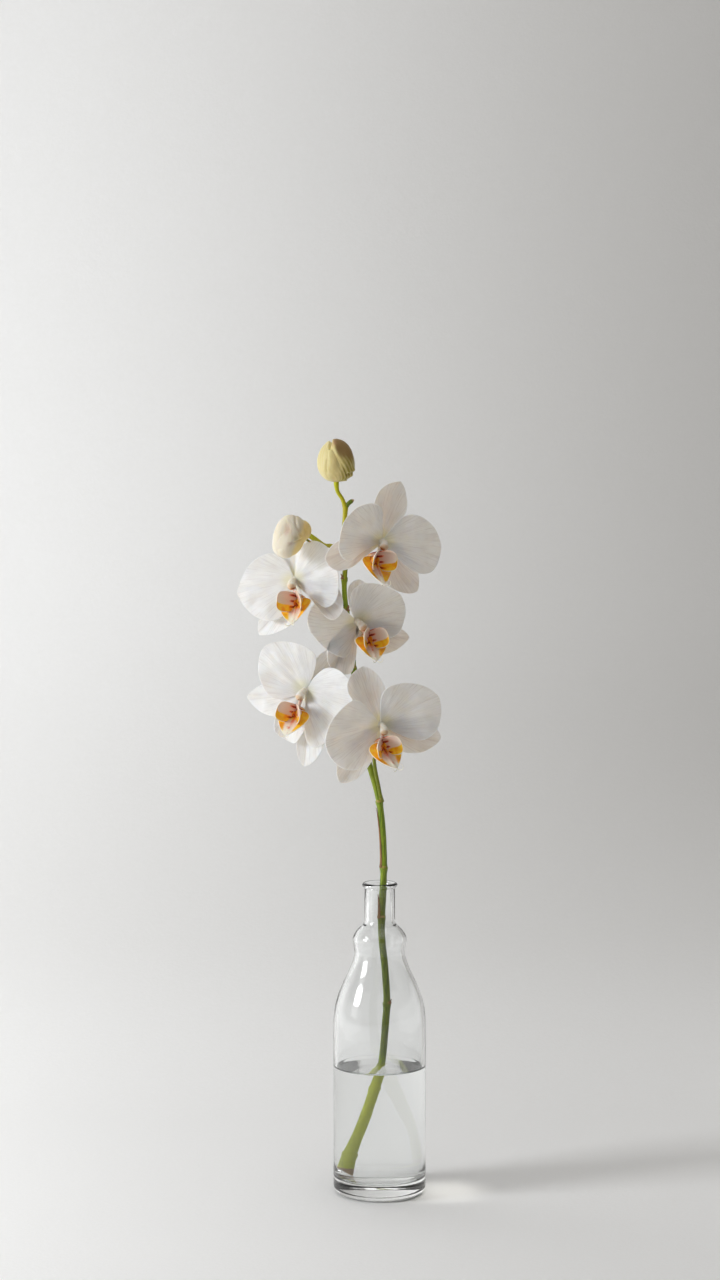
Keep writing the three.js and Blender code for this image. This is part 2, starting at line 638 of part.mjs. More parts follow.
/** A closed bud: an egg of folded sepals with low winding ridges, and a chin on the side of its stalk. */
function budGeometry({ width, depth, length, narrowing, keel, tip, chin }) {
  const egg = new THREE.SphereGeometry(1, BUD.around, BUD.along);
  const places = egg.getAttribute("position");
  for (let i = 0; i < places.count; i += 1) {
    const [x, y, z] = [places.getX(i), places.getY(i), places.getZ(i)];
    const round = Math.max(Math.hypot(x, z), 1e-3);
    const fold = Math.cos(BUD.ridges * (Math.atan2(z, x) - degrees(keel)) + BUD.twist * y);
    const ridge = (BUD.ridge / (width / 2)) * fold * round ** 2;
    const swell = (1 - narrowing * y) / round ** BUD.fullness + ridge;
    places.setXYZ(i, (x * width * swell) / 2, (y * length) / 2, (z * depth * swell) / 2);
  }
  const up = new THREE.Vector3(0, 1, 0);
  egg.applyQuaternion(new THREE.Quaternion().setFromUnitVectors(up, new THREE.Vector3(...tip).normalize()));
  const [offset, halfSizes] = chin;
  return geometryOf(fused([egg, ellipsoid(halfSizes, offset, 10, 7)]));
}

// ---------------------------------------------------------------------------------------------------------
// Assembly
// ---------------------------------------------------------------------------------------------------------

/** A named mesh with its own material. */
function piece(name, geometry, color, { roughness = 0.5, opacity = 1 } = {}) {
  const transparent = opacity < 1;
  const material = new THREE.MeshStandardMaterial({ color, roughness, metalness: 0, opacity, transparent });
  const mesh = new THREE.Mesh(geometry, material);
  mesh.name = name;
  return mesh;
}

const orchid = new THREE.Group();
orchid.add(piece("bottle", bottleGeometry(), COLOURS.glass, { roughness: 0.03, opacity: 0.35 }));
orchid.add(piece("water", waterGeometry(), COLOURS.water, { roughness: 0.02, opacity: 0.4 }));
orchid.add(piece("flower_stem", stemGeometry(), COLOURS.stem));

for (const bloom of BLOOMS) {
  const frame = bloomFrame(bloom);
  frame.add(piece(`${bloom.name}_petals`, bloomGeometry(bloom), COLOURS.petal));
  const lip = piece(`${bloom.name}_lip`, lipGeometry(bloom.lip), COLOURS.lip, { roughness: 0.45 });
  frame.add(placeLip(lip, bloom.lip));
  orchid.add(frame);
}

for (const [name, bud] of Object.entries(BUDS)) {
  const mesh = piece(name, budGeometry(bud), COLOURS.bud);
  mesh.position.set(...bud.centre);
  orchid.add(mesh);
}

export default orchid;
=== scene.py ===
"""A cut moth-orchid spike standing in a clear bottle vase that is part filled with water.

Sizes are in millimetres while a piece is shaped and are turned to metres when it is finished. +Z is up, the
front faces -Y, and the origin is the centre of the bottle's underside. Every bloom is shaped in a frame of
its own: x to the right, y up and z forward, out of its face.
"""

from __future__ import annotations

import logging
import math
from dataclasses import dataclass, field, replace
from enum import Enum
from typing import Callable, ClassVar, Sequence

import bmesh
import bpy
from mathutils import Matrix, Vector, noise

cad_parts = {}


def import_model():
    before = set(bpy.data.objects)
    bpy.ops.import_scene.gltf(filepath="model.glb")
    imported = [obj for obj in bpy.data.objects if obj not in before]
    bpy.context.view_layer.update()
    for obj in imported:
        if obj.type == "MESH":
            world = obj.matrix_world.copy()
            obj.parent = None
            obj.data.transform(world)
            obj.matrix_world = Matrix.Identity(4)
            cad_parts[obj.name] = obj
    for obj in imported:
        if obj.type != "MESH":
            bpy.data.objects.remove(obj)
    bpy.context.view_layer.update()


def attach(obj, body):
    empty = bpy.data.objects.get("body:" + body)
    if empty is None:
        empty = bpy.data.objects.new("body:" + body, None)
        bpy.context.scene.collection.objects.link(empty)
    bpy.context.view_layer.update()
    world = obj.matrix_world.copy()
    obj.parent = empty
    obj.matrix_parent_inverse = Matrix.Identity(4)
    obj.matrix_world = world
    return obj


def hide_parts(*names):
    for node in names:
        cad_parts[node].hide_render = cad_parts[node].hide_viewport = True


LOG = logging.getLogger("orchid")

MILLIMETRE = 0.001
BODY = "root"
ORIGIN = Vector((0, 0, 0))
UP = Vector((0, 0, 1))

Mesh = bmesh.types.BMesh
Tree = bpy.types.NodeTree
Socket = bpy.types.NodeSocket
Place = tuple[float, float, float]
Pair = tuple[float, float]
Tint = Callable[[Vector, float, float], float]
Inputs = dict[str | int, object]


class Slot(Enum):
    """The finish slots that the pieces are made with."""

    GLASS = "bottle_glass"
    WATER = "water"
    STEM = "stem"
    PETALS = "petals"
    LIP = "lip"
    BUD = "bud"


# ---- Small sums ----


def blend(start: float, end: float, share: float) -> float:
    """The value a share of the way from start to end."""
    return start + (end - start) * share


def bounded(value: float, low: float = 0.0, high: float = 1.0) -> float:
    """The value kept between two limits."""
    return max(low, min(high, value))


def eased(value: float, low: float, high: float) -> float:
    """How far a value is from low to high, with a soft start and end.

    Args:
        value: The value to place.
        low: Where the answer is 0.
        high: Where the answer is 1; it may be under low.

    Returns:
        A number from 0 to 1.
    """
    share = bounded((value - low) / (high - low))
    return share * share * (3 - 2 * share)


def hump(distance: float, width: float) -> float:
    """A bell of height 1 over a distance, that has fallen to a third at the width."""
    return math.exp(-((distance / width) ** 2))


def ripple(x: float, y: float, z: float) -> float:
    """Smooth noise between about -1 and 1."""
    return noise.noise(Vector((x, y, z)))


# ---- Lines and tubes ----


class Path:
    """A smooth line through places, walked by the share of its length."""

    STEPS = 24

    def __init__(self, places: Sequence[Place]) -> None:
        """Draw the line.

        Args:
            places: The places that the line goes through, in order.
        """
        points = [Vector(place) for place in places]
        points = [2 * points[0] - points[1], *points, 2 * points[-1] - points[-2]]
        self.samples: list[Vector] = [points[1]]
        for before, start, end, after in zip(points, points[1:], points[2:], points[3:]):
            spans = [math.sqrt((b - a).length) for a, b in ((before, start), (start, end), (end, after))]
            leaving = ((start - before) / spans[0] - (end - before) / (spans[0] + spans[1])
                       + (end - start) / spans[1]) * spans[1]
            arriving = ((end - start) / spans[1] - (after - start) / (spans[1] + spans[2])
                        + (after - end) / spans[2]) * spans[1]
            for step in range(1, self.STEPS + 1):
                t = step / self.STEPS
                square = 3 * (end - start) - 2 * leaving - arriving
                cube = 2 * (start - end) + leaving + arriving
                self.samples.append(start + leaving * t + square * t * t + cube * t ** 3)
        self.walked = [0.0]
        for a, b in zip(self.samples, self.samples[1:]):
            self.walked.append(self.walked[-1] + (b - a).length)
        self.length = self.walked[-1]

    def at(self, share: float) -> Vector:
        """The place at a share of the length.

        Args:
            share: 0 at the start and 1 at the end.

        Returns:
            The place.
        """
        target = bounded(share) * self.length
        index = next((i for i, walked in enumerate(self.walked) if walked >= target), len(self.walked) - 1)
        if index == 0:
            return self.samples[0].copy()
        before, after = self.walked[index - 1], self.walked[index]
        return self.samples[index - 1].lerp(self.samples[index], (target - before) / (after - before))

    def heading(self, share: float) -> Vector:
        """The direction of travel at a share of the length."""
        step = 0.004
        return (self.at(share + step) - self.at(share - step)).normalized()

    def share_at_height(self, height: float) -> float:
        """The share of the length gone by where a rising line reaches a height.

        Args:
            height: The height.

        Returns:
            The share, from 0 to 1.
        """
        for index, (a, b) in enumerate(zip(self.samples, self.samples[1:])):
            if a.z <= height <= b.z:
                part = (height - a.z) / max(b.z - a.z, 1e-9)
                return blend(self.walked[index], self.walked[index + 1], part) / self.length
        return 0.0 if height < self.samples[0].z else 1.0


def parts_of(result: dict, kind: type) -> list:
    """The elements of one kind in what a bmesh operator made."""
    return [element for element in result.get("geom", []) if isinstance(element, kind)]


def sweep_tube(mesh: Mesh, path: Path, radius_at: Callable[[float], float], steps: int,
               sides: int) -> list[bmesh.types.BMVert]:
    """Draw a ring along a path, with both ends closed.

    Args:
        mesh: The mesh that gets the tube.
        path: The centre line.
        radius_at: The radius at a share of the length.
        steps: How many rings follow the first, spread evenly.
        sides: How many corners a ring has.

    Returns:
        The vertices of the tube.
    """
    least_radius = 1e-3
    turn = UP.rotation_difference(path.heading(0.0))
    stations = []
    for step in range(steps + 1):
        share = step / steps
        turn = (turn @ UP).rotation_difference(path.heading(share)) @ turn
        radius = max(radius_at(share), least_radius)
        size = Matrix.Diagonal((radius, radius, radius, 1))
        stations.append(Matrix.Translation(path.at(share)) @ turn.to_matrix().to_4x4() @ size)
    circle = bmesh.ops.create_circle(mesh, cap_ends=False, radius=1, segments=sides, matrix=stations[0])
    ring = circle["verts"]
    first = list(dict.fromkeys(edge for vert in ring for edge in vert.link_edges))
    verts, edges = list(ring), first
    for before, after in zip(stations, stations[1:]):
        extruded = bmesh.ops.extrude_edge_only(mesh, edges=edges)
        ring = parts_of(extruded, bmesh.types.BMVert)
        fresh = set(ring)
        edges = [edge for edge in parts_of(extruded, bmesh.types.BMEdge) if fresh.issuperset(edge.verts)]
        bmesh.ops.transform(mesh, matrix=after @ before.inverted(), verts=ring)
        verts.extend(ring)
    bmesh.ops.holes_fill(mesh, edges=first, sides=sides)
    bmesh.ops.holes_fill(mesh, edges=edges, sides=sides)
    return verts


def swell_ball(mesh: Mesh, half_sizes: Place, place: Place) -> None:
    """Add a ball stretched to three half sizes and set at a place."""
    matrix = Matrix.Translation(Vector(place)) @ Matrix.Diagonal((*half_sizes, 1))
    bmesh.ops.create_uvsphere(mesh, u_segments=24, v_segments=16, radius=1, matrix=matrix)


def number_layers(mesh: Mesh, *names: str) -> dict[str, bmesh.types.BMLayerItem]:
    """The layers that keep a number on every vertex, by name."""
    layers = mesh.verts.layers.float
    return {name: layers.get(name) or layers.new(name) for name in names}


def join(mesh: Mesh, part: Mesh, matrix: Matrix | None = None) -> None:
    """Move a part into a mesh and free it.

    Args:
        mesh: The mesh that gets it.
        part: The part.
        matrix: Where it goes, if it isn't in place yet.
    """
    if matrix is not None:
        bmesh.ops.transform(part, matrix=matrix, verts=part.verts[:])
    data = bpy.data.meshes.new("part")
    part.to_mesh(data)
    part.free()
    mesh.from_mesh(data)
    bpy.data.meshes.remove(data)


def new_object(name: str, data: bpy.types.ID) -> bpy.types.Object:
    """Make an object of its data and add it to the scene.

    Args:
        name: The object's name.
        data: Its mesh, light or camera.

    Returns:
        The object.
    """
    made = bpy.data.objects.new(name, data)
    bpy.context.scene.collection.objects.link(made)
    return made


# ---- Finishes ----


def linear(colour: str) -> tuple[float, float, float, float]:
    """The linear colour of an sRGB hex colour.

    Args:
        colour: A hash and six hex digits.

    Returns:
        Red, green, blue and a full alpha.
    """
    channels = [int(colour[i:i + 2], 16) / 255 for i in (1, 3, 5)]
    bent = [c / 12.92 if c <= 0.04045 else ((c + 0.055) / 1.055) ** 2.4 for c in channels]
    return (*bent, 1.0)


def feed(tree: Tree, node: bpy.types.Node, inputs: Inputs) -> None:
    """Link or set the inputs of a node.

    Args:
        tree: The tree that the node is in.
        node: The node.
        inputs: Its sockets by name or number: an output socket is linked, a hex string is a colour, and any
            other value is set.
    """
    for key, value in inputs.items():
        socket = node.inputs[key]
        if isinstance(value, Socket):
            tree.links.new(value, socket)
        else:
            socket.default_value = linear(value) if isinstance(value, str) else value


def add_node(tree: Tree, kind: str, inputs: Inputs | None = None, **settings: object) -> bpy.types.Node:
    """Add one node with its settings and links.

    Args:
        tree: The node tree that gets it.
        kind: The node's type.
        inputs: What its sockets get, as in feed.
        **settings: Its properties by name.

    Returns:
        The node.
    """
    node = tree.nodes.new(kind)
    for name, value in settings.items():
        setattr(node, name, value)
    feed(tree, node, inputs or {})
    return node


def mixed(tree: Tree, factor: object, first: object, second: object) -> Socket:
    """The colour between two colours or colour sockets, by a factor."""
    node = add_node(tree, "ShaderNodeMix", {0: factor, 6: first, 7: second}, data_type="RGBA")
    return node.outputs[2]


def ranged(tree: Tree, value: object, low: float, high: float, start: float = 0.0,
           end: float = 1.0) -> Socket:
    """A value mapped smoothly from low and high to start and end."""
    return add_node(tree, "ShaderNodeMapRange", {0: value, 1: low, 2: high, 3: start, 4: end},
                    interpolation_type="SMOOTHSTEP").outputs[0]


def reckoned(tree: Tree, operation: str, first: object, second: object) -> Socket:
    """The result of one sum on two values."""
    return add_node(tree, "ShaderNodeMath", {0: first, 1: second}, operation=operation).outputs[0]


@dataclass(frozen=True)
class Finish:
    """A material by its name, with helpers that its kinds share.

    Sizes in it are in metres, except on tepals, where they are shares of their fan.
    """

    name: str

    def make(self) -> bpy.types.Material:
        """Make the material.

        Returns:
            The material.
        """
        material = bpy.data.materials.new(self.name)
        material.use_nodes = True
        tree = material.node_tree
        feed(tree, tree.nodes["Principled BSDF"], self.look(tree))
        return material

    def look(self, tree: Tree) -> Inputs:
        """Add the nodes of the colour and relief.

        Args:
            tree: The node tree that gets them.

        Returns:
            What the shader's inputs get, by name.
        """
        raise NotImplementedError

    def place(self, tree: Tree) -> Socket:
        """The socket of the place on the object, in metres."""
        return add_node(tree, "ShaderNodeTexCoord").outputs["Object"]

    def grain(self, tree: Tree, coordinates: Socket, pitch: Place, detail: float = 3.0) -> Socket:
        """A noise whose spots have a size along each axis.

        Args:
            tree: The node tree.
            coordinates: The coordinates that it reads.
            pitch: The size of a spot along each axis, in the units of the coordinates.
            detail: How much finer noise is laid over it.

        Returns:
            The socket with the noise, from 0 to 1.
        """
        scale = tuple(1 / size for size in pitch)
        stretched = add_node(tree, "ShaderNodeMapping", {"Vector": coordinates, "Scale": scale}).outputs[0]
        noise_inputs = {"Vector": stretched, "Scale": 1.0, "Detail": detail, "Roughness": 0.55}
        return add_node(tree, "ShaderNodeTexNoise", noise_inputs).outputs[0]

    def attribute(self, tree: Tree, name: str) -> Socket:
        """The socket of a number that is kept on the mesh."""
        return add_node(tree, "ShaderNodeAttribute", attribute_name=name).outputs["Fac"]

    def tinted(self, tree: Tree, colour: Socket, **tints: str) -> Socket:
        """A colour with tints laid over it, each where the mesh keeps a number of its name.

        Args:
            tree: The node tree.
            colour: The colour under them.
            **tints: The colour of each tint by its name, from the lowest to the uppermost.

        Returns:
            The socket with the colour.
        """
        for name, tint in tints.items():
            colour = mixed(tree, self.attribute(tree, name), colour, tint)
        return colour

    def swung(self, tree: Tree, value: Socket, swing: float) -> Socket:
        """A noise moved to swing to both sides of 0."""
        return reckoned(tree, "MULTIPLY", reckoned(tree, "SUBTRACT", value, 0.5), swing)

    def relief(self, tree: Tree, height: Socket, strength: float, depth: float) -> Socket:
        """The normal of a fine relief that is too low for geometry, by its height and depth."""
        inputs = {"Strength": strength, "Distance": depth, "Height": height}
        return add_node(tree, "ShaderNodeBump", inputs).outputs[0]

    def clear(self, index: float) -> Inputs:
        """What makes the shader see-through and smooth, with an index of refraction."""
        return {"Roughness": 0.0, "IOR": index, "Transmission Weight": 1.0}

    def flesh(self, roughness: float, index: float, weight: float, colours: Place, depth: float) -> Inputs:
        """What makes the shader waxy, with light that goes a depth into it by its colours."""
        return {"Roughness": roughness, "IOR": index, "Subsurface Weight": weight,
                "Subsurface Radius": colours, "Subsurface Scale": depth}


@dataclass(frozen=True)
class BlownGlass(Finish):
    """Soda-lime glass, blown in a mould: clear and faintly green, with the low waves of its wall."""

    name: str = "blown soda-lime glass"
    base: str = "#feffff"
    wave: Place = (0.014, 0.014, 0.028)

    def look(self, tree: Tree) -> Inputs:
        """Add the nodes of the waves.

        Args:
            tree: The node tree that gets them.

        Returns:
            What the shader's inputs get, by name.
        """
        waves = self.grain(tree, self.place(tree), self.wave, detail=1.0)
        return {"Base Color": self.base, "Normal": self.relief(tree, waves, 0.25, 0.0006), **self.clear(1.5)}


@dataclass(frozen=True)
class StillWater(Finish):
    """Still tap water, which shows by its mirror-like surface and by how it bends what stands in it."""

    name: str = "still water"
    base: str = "#ffffff"
    dim: str = "#fdfdfc"
    cloud: Place = (0.03, 0.03, 0.03)

    def look(self, tree: Tree) -> Inputs:
        """Add the nodes of the faint clouds.

        Args:
            tree: The node tree that gets them.

        Returns:
            What the shader's inputs get, by name.
        """
        cloud = self.grain(tree, self.place(tree), self.cloud, detail=1.0)
        return {"Base Color": mixed(tree, cloud, self.base, self.dim), **self.clear(1.333)}


@dataclass(frozen=True)
class Tissue(Finish):
    """The flesh of a tepal: waxy, slightly see-through, with fine veins that fan out from its claw."""

    name: str = "orchid tepal, waxy white"
    vein: Place = (0.024, 0.35, 1.0)
    spot: Place = (0.25, 0.2, 1.0)
    base: str = "#f1eeea"
    shade: str = "#cbc2bf"
    blush: str = "#b89794"
    heart: str = "#e4d9a0"
    # The pale rim tint is painted light: a paler margin standing for the light that the thin edges of the
    # tepals catch.
    rim: str = "#fbfaf6"

    def look(self, tree: Tree) -> Inputs:
        """Add the nodes of the mottling, the veins and the tints.

        Args:
            tree: The node tree that gets them.

        Returns:
            What the shader's inputs get, by name.
        """
        fan = add_node(tree, "ShaderNodeUVMap", uv_map="fan").outputs[0]
        veins = self.grain(tree, fan, self.vein, detail=4.0)
        mottle = self.grain(tree, fan, self.spot)
        colour = mixed(tree, ranged(tree, mottle, 0.35, 0.75, 0.0, 0.22), self.base, self.shade)
        colour = mixed(tree, ranged(tree, veins, 0.48, 0.68, 0.0, 0.38), colour, self.shade)
        veined = ranged(tree, veins, 0.2, 0.8, 0.75, 1.0)
        blush = reckoned(tree, "MULTIPLY", self.attribute(tree, "blush"), veined)
        colour = mixed(tree, blush, colour, self.blush)
        # The heart is the tepal's own yellow; the rim tint over it is painted light along the margins.
        colour = self.tinted(tree, colour, heart=self.heart, rim=self.rim)
        return {"Base Color": colour, "Normal": self.relief(tree, veins, 0.4, 0.0002),
                **self.flesh(0.5, 1.42, 0.8, (1.0, 0.8, 0.6), 0.002)}


@dataclass(frozen=True)
class LipTissue(Finish):
    """The flesh of the lip: glossy, blush-cream lobes with golden margins and crimson lines at the heart."""

    name: str = "orchid lip, glossy gold and crimson"
    spot: Place = (0.0011, 0.0011, 0.0011)
    patch: Place = (0.004, 0.004, 0.004)
    # The pinkish base is darker than the flesh itself, as painted shade in the hollows near the base of the
    # lobes, where the cream does not lighten it.
    base: str = "#e3c3b3"
    cream: str = "#f6f0e0"
    gold: str = "#ffce2a"
    deep_gold: str = "#f8a010"
    rust: str = "#d8580e"
    crimson: str = "#8c160c"

    def look(self, tree: Tree) -> Inputs:
        """Add the nodes of the gold, rust and crimson, which run into each other.

        Args:
            tree: The node tree that gets them.

        Returns:
            What the shader's inputs get, by name.
        """
        place = self.place(tree)
        spots = self.grain(tree, place, self.spot, detail=2.0)
        wander = self.swung(tree, spots, 0.3)
        gold = reckoned(tree, "ADD", self.attribute(tree, "gold"), wander)
        crimson = reckoned(tree, "ADD", self.attribute(tree, "crimson"), wander)
        patches = self.grain(tree, place, self.patch, detail=2.0)
        golden = mixed(tree, ranged(tree, patches, 0.35, 0.75), self.gold, self.deep_gold)
        colour = mixed(tree, self.attribute(tree, "cream"), self.base, self.cream)
        colour = mixed(tree, ranged(tree, gold, 0.2, 0.75), colour, golden)
        colour = mixed(tree, ranged(tree, crimson, 0.12, 0.42, 0.0, 0.8), colour, self.rust)
        colour = mixed(tree, ranged(tree, crimson, 0.42, 0.62), colour, self.crimson)
        return {"Base Color": colour, "Normal": self.relief(tree, spots, 0.3, 0.00015),
                **self.flesh(0.38, 1.45, 0.25, (1.0, 0.6, 0.3), 0.0008)}


@dataclass(frozen=True)
class ColumnFlesh(Finish):
    """The flesh of the column: cream and waxy, tan over its cap, and rust-brown under it, partly its own
    colour and partly painted shade of the hollow there, which the mesh does not shape.
    """

    name: str = "orchid column, waxy cream"
    spot: Place = (0.0018, 0.0018, 0.0018)
    base: str = "#f5f0e6"
    shade: str = "#ece0cc"
    tan: str = "#dcb88a"
    # The rust tint is partly painted shade, standing for the hollow under the cap.
    rust: str = "#b4661e"

    def look(self, tree: Tree) -> Inputs:
        """Add the nodes of the mottling and the tints.

        Args:
            tree: The node tree that gets them.

        Returns:
            What the shader's inputs get, by name.
        """
        mottle = self.grain(tree, self.place(tree), self.spot, detail=2.0)
        colour = mixed(tree, ranged(tree, mottle, 0.3, 0.75), self.base, self.shade)
        colour = self.tinted(tree, colour, tan=self.tan, rust=self.rust)
        return {"Base Color": colour, "Normal": self.relief(tree, mottle, 0.25, 0.0002),
                **self.flesh(0.4, 1.44, 0.3, (1.0, 0.8, 0.5), 0.001)}


@dataclass(frozen=True)
class GreenStalk(Finish):
    """The skin of the spike: smooth and waxy green with fine streaks along it and tan scars at its nodes."""

    name: str = "orchid stalk, waxy green"
    streak: Place = (0.0007, 0.0007, 0.016)
    patch: Place = (0.008, 0.008, 0.03)
    speck: Place = (0.0009, 0.0009, 0.0014)
    base: str = "#8a9f1c"
    deep: str = "#4d6c0f"
    yellowed: str = "#97a024"
    lime: str = "#c8b914"
    # The pale tint is painted light on the stem under the water, standing for the light that reaches it
    # through the glass and water; on the stalks it is their own paler green near the flowers.
    pale: str = "#ced818"
    dark: str = "#41550f"
    olive: str = "#4b4e14"
    scar: str = "#b39256"

    def look(self, tree: Tree) -> Inputs:
        """Add the nodes of the streaks, patches, specks, tints and scars.

        Args:
            tree: The node tree that gets them.

        Returns:
            What the shader's inputs get, by name.
        """
        place = self.place(tree)
        streaks = self.grain(tree, place, self.streak)
        patches = self.grain(tree, place, self.patch, detail=1.0)
        specks = self.grain(tree, place, self.speck, detail=2.0)
        colour = mixed(tree, ranged(tree, streaks, 0.35, 0.7), self.base, self.deep)
        colour = mixed(tree, ranged(tree, patches, 0.4, 0.8, 0.0, 0.5), colour, self.yellowed)
        # Pale: painted light on the stem under the water, and the stalks' own paler green near the flowers.
        colour = self.tinted(tree, colour, lime=self.lime, pale=self.pale)
        colour = mixed(tree, ranged(tree, specks, 0.52, 0.7, 0.0, 0.2), colour, self.dark)
        colour = self.tinted(tree, colour, olive=self.olive)
        scar = reckoned(tree, "ADD", self.attribute(tree, "scar"), self.swung(tree, streaks, 0.5))
        colour = mixed(tree, ranged(tree, scar, 0.35, 0.75), colour, self.scar)
        return {"Base Color": colour, "Normal": self.relief(tree, streaks, 0.3, 0.0002), "Roughness": 0.42,
                "IOR": 1.45}


@dataclass(frozen=True)
class DryBract(Finish):
    """A dead bract: papery, brown and fibrous along its length."""

    name: str = "dry bract, papery brown"
    fibre: Place = (0.0004, 0.0004, 0.006)
    base: str = "#5f4026"
    pale: str = "#a67e4c"

    def look(self, tree: Tree) -> Inputs:
        """Add the nodes of the fibres.

        Args:
            tree: The node tree that gets them.

        Returns:
            What the shader's inputs get, by name.
        """
        fibres = self.grain(tree, self.place(tree), self.fibre)
        return {"Base Color": mixed(tree, ranged(tree, fibres, 0.3, 0.7), self.base, self.pale),
                "Normal": self.relief(tree, fibres, 0.5, 0.0002), "Roughness": 0.75}


@dataclass(frozen=True)
class BudSkin(Finish):
    """The skin of a closed bud: cream to olive sepals with soft veins and brown-green shoulders."""

    name: str = "orchid bud, cream and olive"
    vein: Place = (0.0011, 0.0011, 0.009)
    patch: Place = (0.004, 0.004, 0.007)
    base: str = "#dbcd94"
    veined: str = "#d8cf92"
    # On bud_1 the pale and olive tints are partly painted light and shade, by its side and by its pleats.
    pale: str = "#e9e0cc"
    olive: str = "#a0922f"
    brown: str = "#9c7d4a"
    pink: str = "#c08a72"
    # The gold tint is painted light on bud_2, a glow standing for light shining through its shaded right
    # side; on bud_1 it is a golden tone.
    gold: str = "#f7dc94"

    def look(self, tree: Tree) -> Inputs:
        """Add the nodes of the veins and the tints.

        Args:
            tree: The node tree that gets them.

        Returns:
            What the shader's inputs get, by name.
        """
        place = self.place(tree)
        veins = self.grain(tree, place, self.vein)
        wander = self.swung(tree, self.grain(tree, place, self.patch, detail=2.0), 0.5)
        colour = mixed(tree, ranged(tree, veins, 0.35, 0.75, 0.0, 0.6), self.base, self.veined)
        for name, tint in (("gold", self.gold), ("pale", self.pale), ("olive", self.olive),
                           ("brown", self.brown), ("pink", self.pink)):
            share = ranged(tree, reckoned(tree, "ADD", self.attribute(tree, name), wander), 0.15, 0.95)
            colour = mixed(tree, share, colour, tint)
        return {"Base Color": colour, "Normal": self.relief(tree, veins, 0.3, 0.0003),
                **self.flesh(0.48, 1.43, 0.6, (1.0, 0.85, 0.5), 0.004)}


@dataclass(frozen=True)
class SweepPaper(Finish):
    """Matt studio paper, off-white with the faintest tooth, that is only there from its front side."""

    name: str = "studio paper, matt off-white"
    tooth: Place = (0.003, 0.003, 0.003)
    base: str = "#fbfbfb"
    worn: str = "#f7f7f6"
    shade: str = "#c0bebb"

    def make(self) -> bpy.types.Material:
        """Make the material, and leave it out where its back is seen.

        Returns:
            The material.
        """
        material = super().make()
        tree = material.node_tree
        far_side = add_node(tree, "ShaderNodeNewGeometry").outputs["Backfacing"]
        clear = add_node(tree, "ShaderNodeBsdfTransparent").outputs[0]
        paper = tree.nodes["Principled BSDF"].outputs[0]
        sheet = add_node(tree, "ShaderNodeMixShader", {0: far_side, 1: paper, 2: clear})
        feed(tree, tree.nodes["Material Output"], {"Surface": sheet.outputs[0]})
        return material

    def look(self, tree: Tree) -> Inputs:
        """Add the nodes of the tooth and of the painted shade by which the paper greys to the right, more up
        the wall, and in a band at its bend.

        Args:
            tree: The node tree that gets them.

        Returns:
            What the shader's inputs get, by name.
        """
        place = self.place(tree)
        tooth = self.grain(tree, place, self.tooth)
        colour = mixed(tree, tooth, self.base, self.worn)
        axes = add_node(tree, "ShaderNodeSeparateXYZ", {0: place}).outputs
        # Painted shade: darker to the right and in the bend, standing for the light falling off away from the
        # window at the left.
        right = ranged(tree, axes["X"], -0.38, 0.42, 0.0, 0.68)
        up_wall = ranged(tree, axes["Z"], -0.02, 0.3, 0.25, 1.0)
        bend_shade = reckoned(tree, "MULTIPLY", ranged(tree, axes["Z"], 0.0, 0.1, 0.0, 0.16),
                           ranged(tree, axes["Z"], 0.1, 0.38, 1.0, 0.0))
        shade = reckoned(tree, "ADD", reckoned(tree, "MULTIPLY", right, up_wall), bend_shade)
        return {"Base Color": mixed(tree, shade, colour, self.shade),
                "Normal": self.relief(tree, tooth, 0.25, 0.0006), "Roughness": 0.9, "Specular IOR Level": 0.2}


def material_of(finish: Finish) -> bpy.types.Material:
    """The material of a finish, which is made when it is first asked for."""
    return bpy.data.materials.get(finish.name) or finish.make()


# ---- Finished pieces ----


@dataclass
class Piece:
    """A mesh on its way to a finished object that stands for one node of the model."""

    name: str
    node: str
    slot: Slot
    skin: Finish
    thickness: float = 0.0
    subdivisions: int = 0
    mend_normals: bool = True
    crease_angle: float = 35.0
    mesh: Mesh = field(default_factory=bmesh.new)

    def paint(self, name: str, value_of: Callable[[Vector], float]) -> None:
        """Keep a number on every vertex, worked out from its place in millimetres.

        Args:
            name: The attribute's name.
            value_of: The number at a place.
        """
        layer = number_layers(self.mesh, name)[name]
        for vert in self.mesh.verts:
            vert[layer] = value_of(vert.co)

    def finish(self) -> None:
        """Turn the mesh to metres and make it an object that rides with the model."""
        if self.mend_normals:
            bmesh.ops.recalc_face_normals(self.mesh, faces=self.mesh.faces[:])
        bmesh.ops.scale(self.mesh, vec=(MILLIMETRE,) * 3, verts=self.mesh.verts[:])
        for face in self.mesh.faces:
            face.smooth = True
        for edge in self.mesh.edges:
            edge.smooth = edge.calc_face_angle(0.0) < math.radians(self.crease_angle)
        data = bpy.data.meshes.new(self.name)
        self.mesh.to_mesh(data)
        self.mesh.free()
        data.materials.append(material_of(self.skin))
        made = new_object(self.name, data)
        if self.thickness:
            shell = made.modifiers.new("thickness", "SOLIDIFY")
            shell.thickness = self.thickness * MILLIMETRE
            shell.offset = 0
        if self.subdivisions:
            smooth = made.modifiers.new("smooth", "SUBSURF")
            smooth.levels = self.subdivisions
            smooth.render_levels = self.subdivisions
        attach(made, BODY)
        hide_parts(self.node)
        LOG.info("%s: %d faces", self.name, len(data.polygons))


# ---- Bottle and water ----


